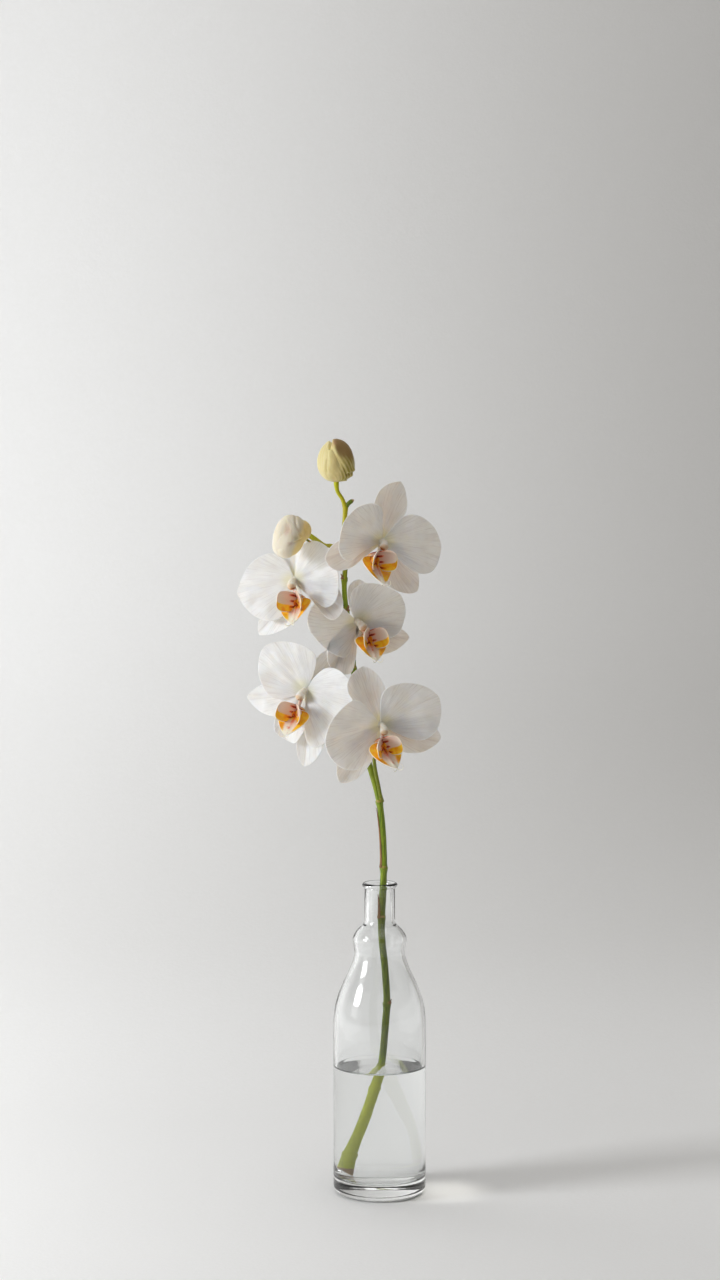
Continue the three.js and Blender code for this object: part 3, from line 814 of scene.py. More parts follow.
@dataclass
class Bottle:
    """The clear bottle with a thick foot, and the water in it.

    punt is the depth of the hollow under its foot, shoulder pairs of outer radius and height, creep how far
    the water climbs the wall or the stem, and bite how far it is let into the glass.
    """

    height: float = 212
    body_radius: float = 31.4
    foot_radius: float = 27
    heel_radius: float = 5.6
    body_top: float = 108
    floor: float = 10.5
    inner_heel: float = 6
    wall: float = 2.5
    neck_radius: float = 10.3
    neck_bottom: float = 186
    lip_radius: float = 11.9
    lip_height: float = 3
    under_lip: float = 0.8
    mouth_depth: float = 3.4
    mouth_flare: float = 0.8
    mouth_edge: float = 1
    punt: float = 1.4
    segments: int = 128
    water_level: float = 86
    wall_creep: float = 1.7
    wall_creep_width: float = 1.5
    wall_rings: int = 8
    stem_creep: float = 1.3
    stem_creep_width: float = 1.3
    open_rings: int = 26
    bite: float = 0.08
    shoulder: tuple[Pair, ...] = (
        (31, 120.7), (29.5, 131), (25.3, 142.6), (20.2, 153.6), (17.2, 163.2), (17.6, 169.3), (18.2, 174.4),
        (15.3, 179.6), (11.4, 183.6))

    def corner(self, x: float, y: float, radius: float, start: float, end: float, steps: int) -> list[Pair]:
        """The points of a rounded corner about a centre, from one angle to another in degrees."""
        turns = [math.radians(blend(start, end, step / steps)) for step in range(steps + 1)]
        return [(x + radius * math.cos(turn), y + radius * math.sin(turn)) for turn in turns]

    def flowing(self, pairs: Sequence[Pair]) -> list[Pair]:
        """The points of a smooth line through pairs of radius and height.

        Args:
            pairs: The pairs that it goes through, in order.

        Returns:
            Many more pairs on it.
        """
        steps = 70
        path = Path([(radius, 0, height) for radius, height in pairs])
        points = [path.at(step / steps) for step in range(steps + 1)]
        return [(point.x, point.z) for point in points]

    def outer_profile(self) -> list[Pair]:
        """The outside of the glass.

        Returns:
            Pairs of radius and height, from the middle of the underside to the top of the lip.
        """
        heel = self.heel_radius
        round_lip = self.lip_height / 2
        shares = (0, 0.2, 0.4, 0.6, 0.8, 0.92)
        under = [(self.foot_radius * share, self.punt * (1 - share ** 4)) for share in shares]
        return [
            *under,
            (self.foot_radius, 0),
            *self.corner(self.body_radius - heel, heel, heel, -60, 0, 8),
            *self.flowing([(self.body_radius, self.body_top), *self.shoulder]),
            (self.neck_radius, self.neck_bottom),
            (self.neck_radius, self.height - self.lip_height - self.under_lip),
            *self.corner(self.lip_radius - round_lip, self.height - round_lip, round_lip, -60, 90, 10),
        ]

    def inner_wall(self, grow: float = 0.0) -> list[Pair]:
        """The inside of the floor and of the heel.

        Args:
            grow: How far it is let into the glass.

        Returns:
            Pairs of radius and height, from the middle of the floor to the straight wall.
        """
        radius = self.body_radius - self.wall
        heel = self.inner_heel
        return [(0, self.floor - grow),
                *self.corner(radius - heel, self.floor + heel, heel + grow, -90, 0, 12)]

    def inner_profile(self) -> list[Pair]:
        """The inside of the glass.

        Returns:
            Pairs of radius and height, from the middle of the floor to the inner edge of the lip.
        """
        radius = self.body_radius - self.wall
        neck = self.neck_radius - self.wall
        shoulder = [(outer - self.wall, height) for outer, height in self.shoulder]
        return [
            *self.inner_wall(),
            *self.flowing([(radius, self.body_top), *shoulder]),
            (neck, self.neck_bottom),
            (neck, self.height - self.mouth_depth),
            (neck + self.mouth_flare, self.height - self.mouth_edge),
        ]

    def turn(self, mesh: Mesh, profile: Sequence[Pair]) -> None:
        """Spin a profile to a closed solid.

        Args:
            mesh: The mesh that gets it.
            profile: Pairs of radius and height, which start and end on the axis.
        """
        verts = [mesh.verts.new((radius, 0, height)) for radius, height in profile]
        edges = [mesh.edges.new(pair) for pair in zip(verts, verts[1:])]
        bmesh.ops.spin(mesh, geom=[*verts, *edges], cent=ORIGIN, axis=UP, angle=2 * math.pi,
                       steps=self.segments, use_merge=True)
        bmesh.ops.remove_doubles(mesh, verts=mesh.verts[:], dist=1e-4)

    def make_glass(self) -> None:
        """Make the glass."""
        piece = Piece("blown_glass", "bottle", Slot.GLASS, BlownGlass())
        self.turn(piece.mesh, [*self.outer_profile(), *reversed(self.inner_profile())])
        piece.finish()

    def make_water(self, stem: Path, stem_radius: float) -> None:
        """Make the water, which creeps up the wall and the stem.

        Args:
            stem: The centre line of the stem.
            stem_radius: The stem's radius at the surface.
        """
        piece = Piece("still_water", "water", Slot.WATER, StillWater())
        radius = self.body_radius - self.wall + self.bite
        level = self.water_level
        rings = [radius - 0.35 * step ** 1.35 for step in range(self.wall_rings)]
        creeps = [self.wall_creep * hump(radius - ring, self.wall_creep_width) for ring in rings]
        near_wall = [(ring, level + creep) for ring, creep in zip(rings, creeps)]
        shares = [1 - step / self.open_rings for step in range(1, self.open_rings + 1)]
        open_surface = [(rings[-1] * share, level) for share in shares]
        self.turn(piece.mesh, [*self.inner_wall(self.bite), *near_wall, *open_surface])
        middle = stem.at(stem.share_at_height(level))
        for vert in piece.mesh.verts:
            if vert.co.z > level - 0.01:
                gap = math.hypot(vert.co.x - middle.x, vert.co.y - middle.y) - stem_radius
                vert.co.z += self.stem_creep * hump(max(gap, 0), self.stem_creep_width)
        piece.finish()


# ---- Spike ----


@dataclass(frozen=True)
class Node:
    """A swollen joint of the stem.

    bulge is how far it stands out, facing which way its scar looks, and scar how brown that is.
    """

    height: float
    bulge: float
    facing: float = 0.0
    scar: float = 1.0


@dataclass(frozen=True)
class Bract:
    """A dry scale that hugs the stem from a node upwards.

    facing is the side of the stem that it covers, as a heading in degrees from straight ahead to the right,
    and flare is how far its tip stands off.
    """

    height: float
    length: float
    facing: float
    half_width: float = 0.9
    flare: float = 0.6


@dataclass
class Spike:
    """The green stem with its nodes, scales and stalks.

    A pair of heights says where a tone starts and where it is full.
    """

    line: tuple[Place, ...] = (
        (-14.4, 14.1, 10), (-12.4, 13.4, 25), (-6.7, 10.8, 50), (-0.9, 7.5, 77.5), (1.5, 6, 88),
        (4.1, 4, 116), (4.9, 3, 129), (3.5, 1, 154), (1.2, -1.5, 178), (1.9, -3.9, 204), (2.5, -5.2, 216),
        (2.6, -6, 232), (1.2, -7.5, 256), (-1.2, -8, 272), (-5.6, -8.4, 288), (-12, -9, 308),
        (-15.5, -9, 330), (-17.4, -9, 355), (-18.8, -9, 373), (-22.2, -9, 394), (-23.8, -9, 412),
        (-22.9, -9, 430), (-23.6, -9, 452), (-22.9, -9, 466))
    radius_at_cut: float = 3.1
    radius_in_water: float = 2.6
    radius_at_neck: float = 2.35
    radius_at_top: float = 1.55
    neck_share: float = 0.4
    sides: int = 20
    step: float = 1.2
    cut_place: Place = (-15.6, 14, 13.2)
    cut_slope: float = 42
    browned_cut: Pair = (17, 13.5)
    # Heights where the painted light on the stem under the water starts and where it is full.
    underwater_painted_light: Pair = (92, 80)
    olive_from: Pair = (90, 98)
    olive_to: Pair = (220, 190)
    lime_top: Pair = (400, 460)
    stalk_at_stem: float = 1.25
    stalk_at_bloom: float = 1.3
    stalk_straight: float = 4
    stalk_steps: int = 40
    stalk_sides: int = 14
    collar_swell: float = 0.5
    collar_length: float = 3.2
    bloom_swell: float = 0.45
    nodes: tuple[Node, ...] = (
        Node(25, 0.45, scar=0.3), Node(72, 0.35, scar=0.3), Node(128.6, 0.55, 60), Node(223, 0.6, -20),
        Node(189, 0.35), Node(268, 0.5), Node(318, 0.45), Node(358, 0.45), Node(396, 0.45, -60),
        Node(417.5, 0.6, -60), Node(437.5, 0.45, scar=0.5), Node(464.5, 0.3, scar=0.0))
    swell_below: float = 2.6
    swell_above: float = 1.4
    groove_depth: float = 0.22
    groove_rise: float = 1.5
    groove_width: float = 0.5
    bracts: tuple[Bract, ...] = (
        Bract(223, 42, -75, 0.8, 0.35), Bract(188, 17, -80, 1.1, 0.6), Bract(128.6, 3.4, 75, 0.9, 1.2),
        Bract(417.5, 3.6, -80, 1.2, 0.9), Bract(396, 4.5, 70, 1.2, 0.8))
    bract_gap: float = 0.22
    bract_across: int = 8
    bract_along: int = 14
    stubs: tuple[tuple[float, tuple[Place, ...]], ...] = (
        (1.3, ((-22.9, -9, 464.5), (-20.9, -9.2, 467.7), (-17.4, -9.4, 470.2))),
        (1.0, ((-33.4, -19, 439.6), (-31, -17, 439.9), (-28.4, -15, 441.9))),
        (0.7, ((-49.2, -46, 446.6), (-47.2, -46.3, 444.9), (-45.4, -46.5, 443.9))))

    def __post_init__(self) -> None:
        """Draw the centre line."""
        self.path = Path(self.line)

    def radius_at(self, share: float) -> float:
        """The plain radius.

        Args:
            share: The share of the length, from the cut end.

        Returns:
            The radius.
        """
        if share < self.neck_share:
            above_foot = blend(self.radius_in_water, self.radius_at_neck, share / self.neck_share)
            return blend(self.radius_at_cut, above_foot, eased(share, 0.01, 0.06))
        above_neck = (share - self.neck_share) / (1 - self.neck_share)
        return blend(self.radius_at_neck, self.radius_at_top, above_neck)

    def swollen_radius(self, share: float) -> float:
        """The radius with the swellings at the nodes, each with a groove above it.

        Args:
            share: The share of the length, from the cut end.

        Returns:
            The radius.
        """
        height = self.path.at(share).z
        radius = self.radius_at(share)
        for node in self.nodes:
            rise = height - node.height
            swelling = node.bulge * hump(rise, self.swell_below if rise < 0 else self.swell_above)
            radius += swelling - self.groove_depth * hump(rise - self.groove_rise, self.groove_width)
        return radius + 0.06 * ripple(0, 0, height / 9)

    def make_stem(self) -> None:
        """Make the stem with its slanted foot."""
        piece = Piece("spike_stem", "flower_stem", Slot.STEM, GreenStalk())
        steps = round(self.path.length / self.step)
        sweep_tube(piece.mesh, self.path, self.swollen_radius, steps, self.sides)
        slope = math.radians(self.cut_slope)
        everything = [*piece.mesh.verts, *piece.mesh.edges, *piece.mesh.faces]
        cut = bmesh.ops.bisect_plane(piece.mesh, geom=everything, plane_co=self.cut_place,
                                     plane_no=(math.sin(slope), 0, math.cos(slope)), clear_inner=True)
        edges = [element for element in cut["geom_cut"] if isinstance(element, bmesh.types.BMEdge)]
        bmesh.ops.holes_fill(piece.mesh, edges=edges, sides=0)
        piece.paint("scar", self.scar_at)
        # Painted light: the stem is paler under the water, standing for light that reaches it through the
        # glass.
        piece.paint("pale", lambda place: 0.95 * eased(place.z, *self.underwater_painted_light))
        piece.paint("lime", lambda place: 0.75 * eased(place.z, *self.lime_top))
        piece.paint("olive", lambda place: 0.45 * eased(place.z, *self.olive_from)
                    * eased(place.z, *self.olive_to))
        piece.finish()

    def scar_at(self, place: Vector) -> float:
        """How much of the tan scar of a node, or of the browned cut end, shows on the stem.

        Args:
            place: The place on the stem.

        Returns:
            A number from 0 to 1.
        """
        centre = self.path.at(self.path.share_at_height(place.z))
        heading = math.degrees(math.atan2(place.x - centre.x, centre.y - place.y))
        total = eased(place.z, *self.browned_cut)
        for node in self.nodes:
            turn = abs((heading - node.facing + 180) % 360 - 180)
            total += node.scar * hump(place.z - node.height - 0.6, 1.1) * (0.22 + 0.6 * eased(turn, 120, 20))
        return bounded(total)

    def stalk_lines(self, blooms: Sequence[Bloom]) -> list[tuple[Path, float, float, float]]:
        """The stalks of the blooms and buds.

        Args:
            blooms: The blooms.

        Returns:
            Of each stalk its path, its radius at both ends and its olive tone.
        """
        lines = []
        for bloom in blooms:
            back = bloom.column_back
            frame = bloom.frame
            ends = [frame @ Vector((0, 0, back - self.stalk_straight)), frame @ Vector((0, 0, back + 1))]
            places = [bloom.stalk_from, *bloom.stalk_ways, *(tuple(end) for end in ends)]
            lines.append((Path(places), self.stalk_at_stem, self.stalk_at_bloom, bloom.stalk_tone))
        for bud in BUDS:
            lines.append((Path(bud.line), bud.stalk_radius, bud.stalk_radius, bud.stalk_tone))
        return lines

    def make_stalks(self, blooms: Sequence[Bloom]) -> None:
        """Make the stalks of the blooms and buds, each with its collar, and the withered stubs beside them.

        Args:
            blooms: The blooms.
        """
        piece = Piece("bloom_stalks", "flower_stem", Slot.STEM, GreenStalk())
        layers = number_layers(piece.mesh, "scar", "pale", "olive", "lime")
        for path, first, last, tone in self.stalk_lines(blooms):

            def radius_at(share: float) -> float:
                """The radius at a share of the length, swollen at the stem and towards the flower."""
                swollen = (self.collar_swell * hump(share * path.length, self.collar_length)
                           + self.bloom_swell * eased(share, 0.6, 0.9))
                return blend(first, last, share) + swollen

            for vert in sweep_tube(piece.mesh, path, radius_at, self.stalk_steps, self.stalk_sides):
                gone = (vert.co - path.at(0)).length
                vert[layers["scar"]] = 0.6 * hump(gone - 3, 1.2) * eased(path.at(0).z, 462, 450)
                vert[layers["pale"]] = 0.5 * eased((vert.co - path.at(1)).length, 16, 3)
                vert[layers["olive"]] = tone
                vert[layers["lime"]] = 0.8 - 1.5 * tone
        for radius, line in self.stubs:
            stub = Path(line)

            def tapered(share: float) -> float:
                """The radius of a stub, down to its withered tip."""
                return radius * (1.1 - eased(share, 0.75, 1.1))

            for vert in sweep_tube(piece.mesh, stub, tapered, 14, 12):
                left = (vert.co - stub.at(1)).length
                vert[layers["olive"]] = 0.3 + 0.3 * eased(left, 3, 1)
                vert[layers["scar"]] = 0.9 * eased(left, 2.2, 1.2)
        piece.finish()

    def make_bracts(self) -> None:
        """Make the dry scales on the stem."""
        piece = Piece("dry_bracts", "flower_stem", Slot.STEM, DryBract(), thickness=0.3, subdivisions=1,
                      mend_normals=False)
        for bract in self.bracts:
            sheet = bmesh.new()
            bmesh.ops.create_grid(sheet, x_segments=self.bract_across, y_segments=self.bract_along, size=1)
            for vert in sheet.verts:
                vert.co = self.bract_place(bract, (vert.co.y + 1) / 2, -vert.co.x)
            bmesh.ops.remove_doubles(sheet, verts=sheet.verts[:], dist=WELD)
            join(piece.mesh, sheet)
        piece.finish()

    def bract_place(self, bract: Bract, along: float, across: float) -> Vector:
        """A place on a scale.

        Args:
            bract: The scale.
            along: The share of its length.
            across: From -1 to 1 across it.

        Returns:
            The place.
        """
        share = self.path.share_at_height(bract.height + bract.length * along)
        centre = self.path.at(share)
        radius = self.swollen_radius(share) + self.bract_gap + bract.flare * along ** 2
        narrowing = (1 - along ** 1.6) ** 0.6 if along < 1 else 0.0
        turn = math.radians(bract.facing) + across * bract.half_width * narrowing
        return centre + Vector((math.sin(turn), -math.cos(turn), 0)) * radius


# ---- Blades: tepals and the lobes of the lip ----


@dataclass(frozen=True)
class Spot:
    """A spot on a blade.

    along runs from 0 at the claw to 1 at the tip, across from 1 at the left edge to -1 at the right, and x
    and y are millimetres along and beside the middle line.
    """

    along: float
    across: float
    x: float
    y: float


@dataclass(frozen=True)
class Blade:
    """A tepal, and what the lobes of the lip share with one.

    at is its direction and left and right its half widths, seen face on. back moves the widest place towards
    the claw, tip and base say how pointed its ends are, egg moves its width towards the tip, and bend curves
    its middle line. lean, arch, cup and rise bring it out of the plane. crease is the channel along its
    middle, wave the swing of its margin, ribs the low folds that fan out from its claw, and blush its pink.
    """

    at: float
    length: float
    left: float
    right: float
    back_left: float = 0
    back_right: float = 0
    bend: float = 0
    tip: float = 1.1
    base: float = 2.4
    egg: float = 0
    lean: float = 12
    arch: float = -3
    cup_left: float = 2
    cup_right: float = 2
    claw: float = 3
    rise: float = 0
    crease: float = 0.5
    wave: float = 0.7
    ribs: float = 0.5
    blush: float = 0.0

    # The last tint is the painted highlight along a tepal's margin.
    TINTS: ClassVar[tuple[str, ...]] = ("blush", "heart", "rim")
    FANNED: ClassVar[bool] = True

    def place(self, along: float, across: float) -> tuple[Vector, Spot]:
        """A place on the middle surface.

        Args:
            along: 0 at the claw and 1 at the tip.
            across: 1 at the left edge and -1 at the right.

        Returns:
            The place in space, and the spot.
        """
        turn = math.pi * (1 - along)
        on_left = across >= 0
        side = abs(math.sin(turn))
        forward = math.cos(turn)
        width = self.left if on_left else self.right
        back = self.back_left if on_left else self.back_right
        cup = self.cup_left if on_left else self.cup_right
        power = self.tip if forward > 0 else self.base
        middle = self.length / 2
        root = ((1 - forward) / 2) ** 6
        x = middle * (1 + forward) - back * side ** 2 * across ** 2 - ROOT_DEPTH * root
        half_width = (width * side ** power * (1 + self.egg * forward)
                      + ROOT_HALF_WIDTH * math.sqrt(side) * root)
        y = across * half_width
        share = x / self.length
        spread = y / width
        height = (x * math.tan(math.radians(self.lean)) + self.arch * share * abs(share)
                  + cup * spread ** 2 * bounded(2 * share) + self.rise)
        place = Vector((self.claw + x, y + self.bend * share * abs(share), height))
        return place, Spot(along, across, x, y)

    def folds(self, spot: Spot, seed: float) -> float:
        """How far the creases, ribs and waves lift a spot out of the plain surface.

        Args:
            spot: The spot.
            seed: Makes the folds of each blade its own.

        Returns:
            The height.
        """
        x, y = spot.x, spot.y
        share = bounded(x / self.length)
        fan = math.atan2(y, x + FAN_START)
        channel = -self.crease * hump(y, 1.6) * eased(share, -0.1, 0.15) * eased(share, 1.05, 0.7)
        ribs = self.ribs * ripple(9 * fan, 4 * share, seed) * eased(share, 0.05, 0.4)
        swing = self.wave * ripple(seed + fan * 3.2, share * 2.2, seed) * 1.6 * abs(spot.across) ** 2
        roll = 2.8 * self.wave * ripple(x / 15, 2.4 * fan, seed) * eased(share, 0.08, 0.5)
        return channel + ribs + swing * eased(share, 0.15, 0.6) + roll

    def lift(self, spot: Spot) -> float:
        """How far the form of its own kind lifts a spot, which is not at all for a tepal."""
        return 0.0

    def tints(self, spot: Spot, seed: float) -> tuple[float, ...]:
        """How much of each of its tints a spot has, here its blush, its golden heart and its rim highlight, a
        pale margin painted as the light that its thin edge catches.

        Args:
            spot: The spot.
            seed: Not used.

        Returns:
            A number for each name in TINTS.
        """
        beside = abs(spot.across)
        inside = eased(beside, 1, 0.1) * eased(bounded(spot.x / self.length), 1.1, 0.3)
        heart = 0.5 * eased(math.hypot(spot.x, spot.y), 9, 1)
        # The last number is the painted highlight along the margin and the tip.
        return self.blush * (0.35 + 0.65 * inside), heart, 0.5 * eased(max(beside, spot.along), 0.93, 1.0)

    def sheet(self, seed: float, across: int, along: int) -> Mesh:
        """The blade as a thin sheet turned to its heading, with its tints and fan coordinates.

        Args:
            seed: Makes its folds its own.
            across: How many faces run across it.
            along: How many faces run along it.

        Returns:
            The sheet, whose faces point forward.
        """
        sheet = bmesh.new()
        bmesh.ops.create_grid(sheet, x_segments=across, y_segments=along, size=1)
        layers = number_layers(sheet, *self.TINTS)
        fan = sheet.loops.layers.uv.new("fan") if self.FANNED else None
        spots = {}
        for vert in sheet.verts:
            place, spot = self.place((vert.co.y + 1) / 2, -vert.co.x)
            place.z += self.folds(spot, seed) + self.lift(spot)
            for layer, value in zip(layers.values(), self.tints(spot, seed)):
                vert[layer] = value
            vert.co = place
            spots[vert] = spot
        for face in sheet.faces if self.FANNED else ():
            for loop in face.loops:
                x, y = spots[loop.vert].x + FAN_START, spots[loop.vert].y
                loop[fan].uv = (math.atan2(y, x) + seed, math.hypot(x, y) / FAN_LENGTH)
        turned = Matrix.Rotation(math.radians(self.at), 4, "Z")
        bmesh.ops.transform(sheet, matrix=turned, verts=sheet.verts[:])
        bmesh.ops.remove_doubles(sheet, verts=sheet.verts[:], dist=WELD)
        return sheet


ROOT_DEPTH = 3.2
ROOT_HALF_WIDTH = 2.0
FAN_START = 9
FAN_LENGTH = 50
WELD = 0.02

PETAL = Blade(at=0, length=30, left=20, right=20)
SEPAL = Blade(at=0, length=38, left=10, right=10, tip=1.3, base=1.4, lean=-4, arch=0, cup_left=3, cup_right=3,
              rise=-1.2, crease=0.9, wave=0.6, ribs=0.35)


def petal(at: float, length: float, left: float, right: float, **shape: float) -> Blade:
    """One of the two broad petals of a bloom."""
    return replace(PETAL, at=at, length=length, left=left, right=right, **shape)


def sepal(at: float, length: float, left: float, right: float, **shape: float) -> Blade:
    """One of the narrower sepals behind the petals of a bloom."""
    return replace(SEPAL, at=at, length=length, left=left, right=right, **shape)


# ---- Lip ----


@dataclass(frozen=True)
class MiddleLobe(Blade):
    """The arrow-shaped middle lobe of a lip with its keel. gilding spreads gold over its left half."""

    gilding: float = 0.0

    TINTS: ClassVar[tuple[str, ...]] = ("gold", "crimson", "cream")
    FANNED: ClassVar[bool] = False

    def lift(self, spot: Spot) -> float:
        """How far the keel and the raised margins lift a spot."""
        keel = 0.9 * hump(spot.y, 1.0) * eased(spot.along, 1.0, 0.6)
        return keel + 1.2 * spot.across * spot.across * eased(spot.along, 0.9, 0.4)

    def tints(self, spot: Spot, seed: float) -> tuple[float, ...]:
        """How much of the gold, crimson and cream a spot has, with golden shoulders and a cream rim that is
        partly the lobe's pale edge and partly a painted highlight along it.

        Args:
            spot: The spot.
            seed: Makes its flecks its own.

        Returns:
            A number for each name in TINTS.
        """
        share, side, beside = spot.along, spot.across, abs(spot.across)
        margin = eased(beside, 0.2, 0.7) * eased(share, 0.92, 0.6)
        half = bounded(self.gilding * side * 3) * eased(share, 0.95, 0.7)
        patch = 0.75 * eased(share, 0.36, 0.1) * eased(beside, 0.6, 0.15)
        keel = 0.4 * hump(side, 0.08) * eased(share, 0.8, 0.3)
        fleck = 0.22 * bounded(ripple(7 * side, 9 * share, seed) * 3) * eased(beside, 0.6, 0.2)
        # The cream rim is partly the lobe's own pale edge and partly a painted highlight along it.
        rim = eased(max(beside, share), 0.9, 0.97)
        gold = max(margin, half, eased(share, 0.5, 0.25)) * (1 - rim)
        return gold, patch + keel + fleck, max(eased(share, 0.4, 0.75), rim)


@dataclass(frozen=True)
class SideLobe(Blade):
    """One of the two erect side lobes of a lip, striped at its base and golden at its lower margin."""

    TINTS: ClassVar[tuple[str, ...]] = MiddleLobe.TINTS
    FANNED: ClassVar[bool] = False

    def lift(self, spot: Spot) -> float:
        """How far the hollow of the lobe lifts a spot."""
        return 1.6 * spot.across * spot.across * eased(spot.along, 0.1, 0.6)

    def tints(self, spot: Spot, seed: float) -> tuple[float, ...]:
        """How much of the gold, crimson and cream a spot has, with a golden band, crimson stripes, and less
        cream near the base, where the darker base colour stands as painted shade.

        Args:
            spot: The spot.
            seed: Not used.

        Returns:
            A number for each name in TINTS.
        """
        share, side = spot.along, spot.across
        lower = -side if math.cos(math.radians(self.at)) > 0 else side
        band = eased(lower, 0.1, 0.45) * eased(share, 0.2, 0.5) * eased(lower, 1.0, 0.88)
        fingers = (0.5 + 0.5 * math.cos(11 * side + 1.2)) ** 2 * eased(share, 0.52, 0.36)
        throat = 0.35 * eased(share, 0.28, 0.1) * eased(lower, -0.6, 0)
        # The cream grows towards the tip, so the darker base colour near the base stands as painted shade in
        # the hollow; the pale line along the lower edge is partly a painted highlight.
        cream = max(0.7 * eased(share, 0.3, 1.0), eased(lower, 0.86, 0.93))
        return max(band, 0.5 * eased(share, 0.3, 0.15)), max(0.75 * fingers, throat), cream


LIP_MIDDLE = MiddleLobe(at=270, length=14, left=10.3, right=10.3, back_left=3.6, back_right=3.6, tip=1.25,
                        base=0.8, egg=-0.2, lean=42, arch=0, cup_left=3, cup_right=3, claw=0, crease=0,
                        wave=0.4, ribs=0.2)
LIP_SIDE = SideLobe(at=0, length=8.8, left=6.9, right=6.9, tip=0.72, base=0.6, egg=0.05, lean=60, arch=-2,
                    cup_left=1.5, cup_right=1.5, claw=0, crease=0, wave=0.45, ribs=0.2)


@dataclass(frozen=True)
class Lip:
    """The lip of a bloom.

    place is in the bloom's frame, pitch swings its lower part out, roll is its lean, bend curves its middle
    lobe, and gilding spreads the gold over the left half of that.
    """

    place: Place
    pitch: float
    roll: float
    bend: float = 0.0
    gilding: float = 0.0
    thickness: float = 0.55
    side_angle: float = 12
    callus_place: Place = (0, 0.4, 1.2)
    callus_sizes: Place = (2.0, 3.1, 2.4)
    callus_gap: float = 1.7
    foot_height: float = 2.2
    foot_radius: float = 1.2
    curl: tuple[Place, ...] = (
        (0, 0, 0), (1.2, -1.2, 0.9), (2.6, -1.2, 2.1), (3.4, 0.4, 2.6), (3.0, 2.2, 2.2), (1.8, 2.6, 1.4))
    curl_radius: float = 0.38
    along: int = 22
    across: int = 20

    @property
    def matrix(self) -> Matrix:
        """From the lip's own frame to the bloom's."""
        return (Matrix.Translation(Vector(self.place)) @ Matrix.Rotation(math.radians(-self.pitch), 4, "X")
                @ Matrix.Rotation(math.radians(self.roll), 4, "Z"))

    @property
    def middle(self) -> MiddleLobe:
        """The middle lobe."""
        return replace(LIP_MIDDLE, bend=self.bend, gilding=self.gilding)

    @property
    def sides(self) -> tuple[SideLobe, SideLobe]:
        """The right and the left side lobe."""
        return replace(LIP_SIDE, at=self.side_angle), replace(LIP_SIDE, at=180 - self.side_angle)

    def foot_path(self, column_radius: float, clearance: float) -> Path:
        """The line of the lip's foot, from the side of the column to the callus, in the lip's own frame.

        Args:
            column_radius: The radius of the column.
            clearance: The gap between it and the middle of the foot's end.

        Returns:
            The line.
        """
        aside = Vector((self.place[0], self.place[1])).normalized() * (column_radius + clearance)
        seat = self.matrix.inverted() @ Vector((aside.x, aside.y, self.foot_height))
        return Path([tuple(seat), tuple((seat + Vector(self.callus_place)) / 2), self.callus_place])

    def tendril_path(self, side: float) -> Path:
        """The curl of one of the two whips at the tip of the middle lobe.

        Args:
            side: -1 or 1, for the side that it curls to.

        Returns:
            The line.
        """
        tip = self.middle.place(0.97, 0.3 * side)[0]
        start = Matrix.Rotation(math.radians(LIP_MIDDLE.at), 4, "Z") @ tip
        return Path([tuple(start + Vector((side * x, y, z))) for x, y, z in self.curl])


@dataclass(frozen=True)
class Column:
    """The white column in the middle of a bloom, with the hub behind it and the cap over its end."""

    steps: int = 26
    sides: int = 22
    hub_radius: float = 2.9
    hub_back: float = 3.2
    hub_depth: float = -1.5
    length: float = 6.4
    radius: float = 1.9
    lean: float = 3.7
    cap_radius: float = 2.9
    cap_reach: float = 2.3
    clearance: float = 0.93


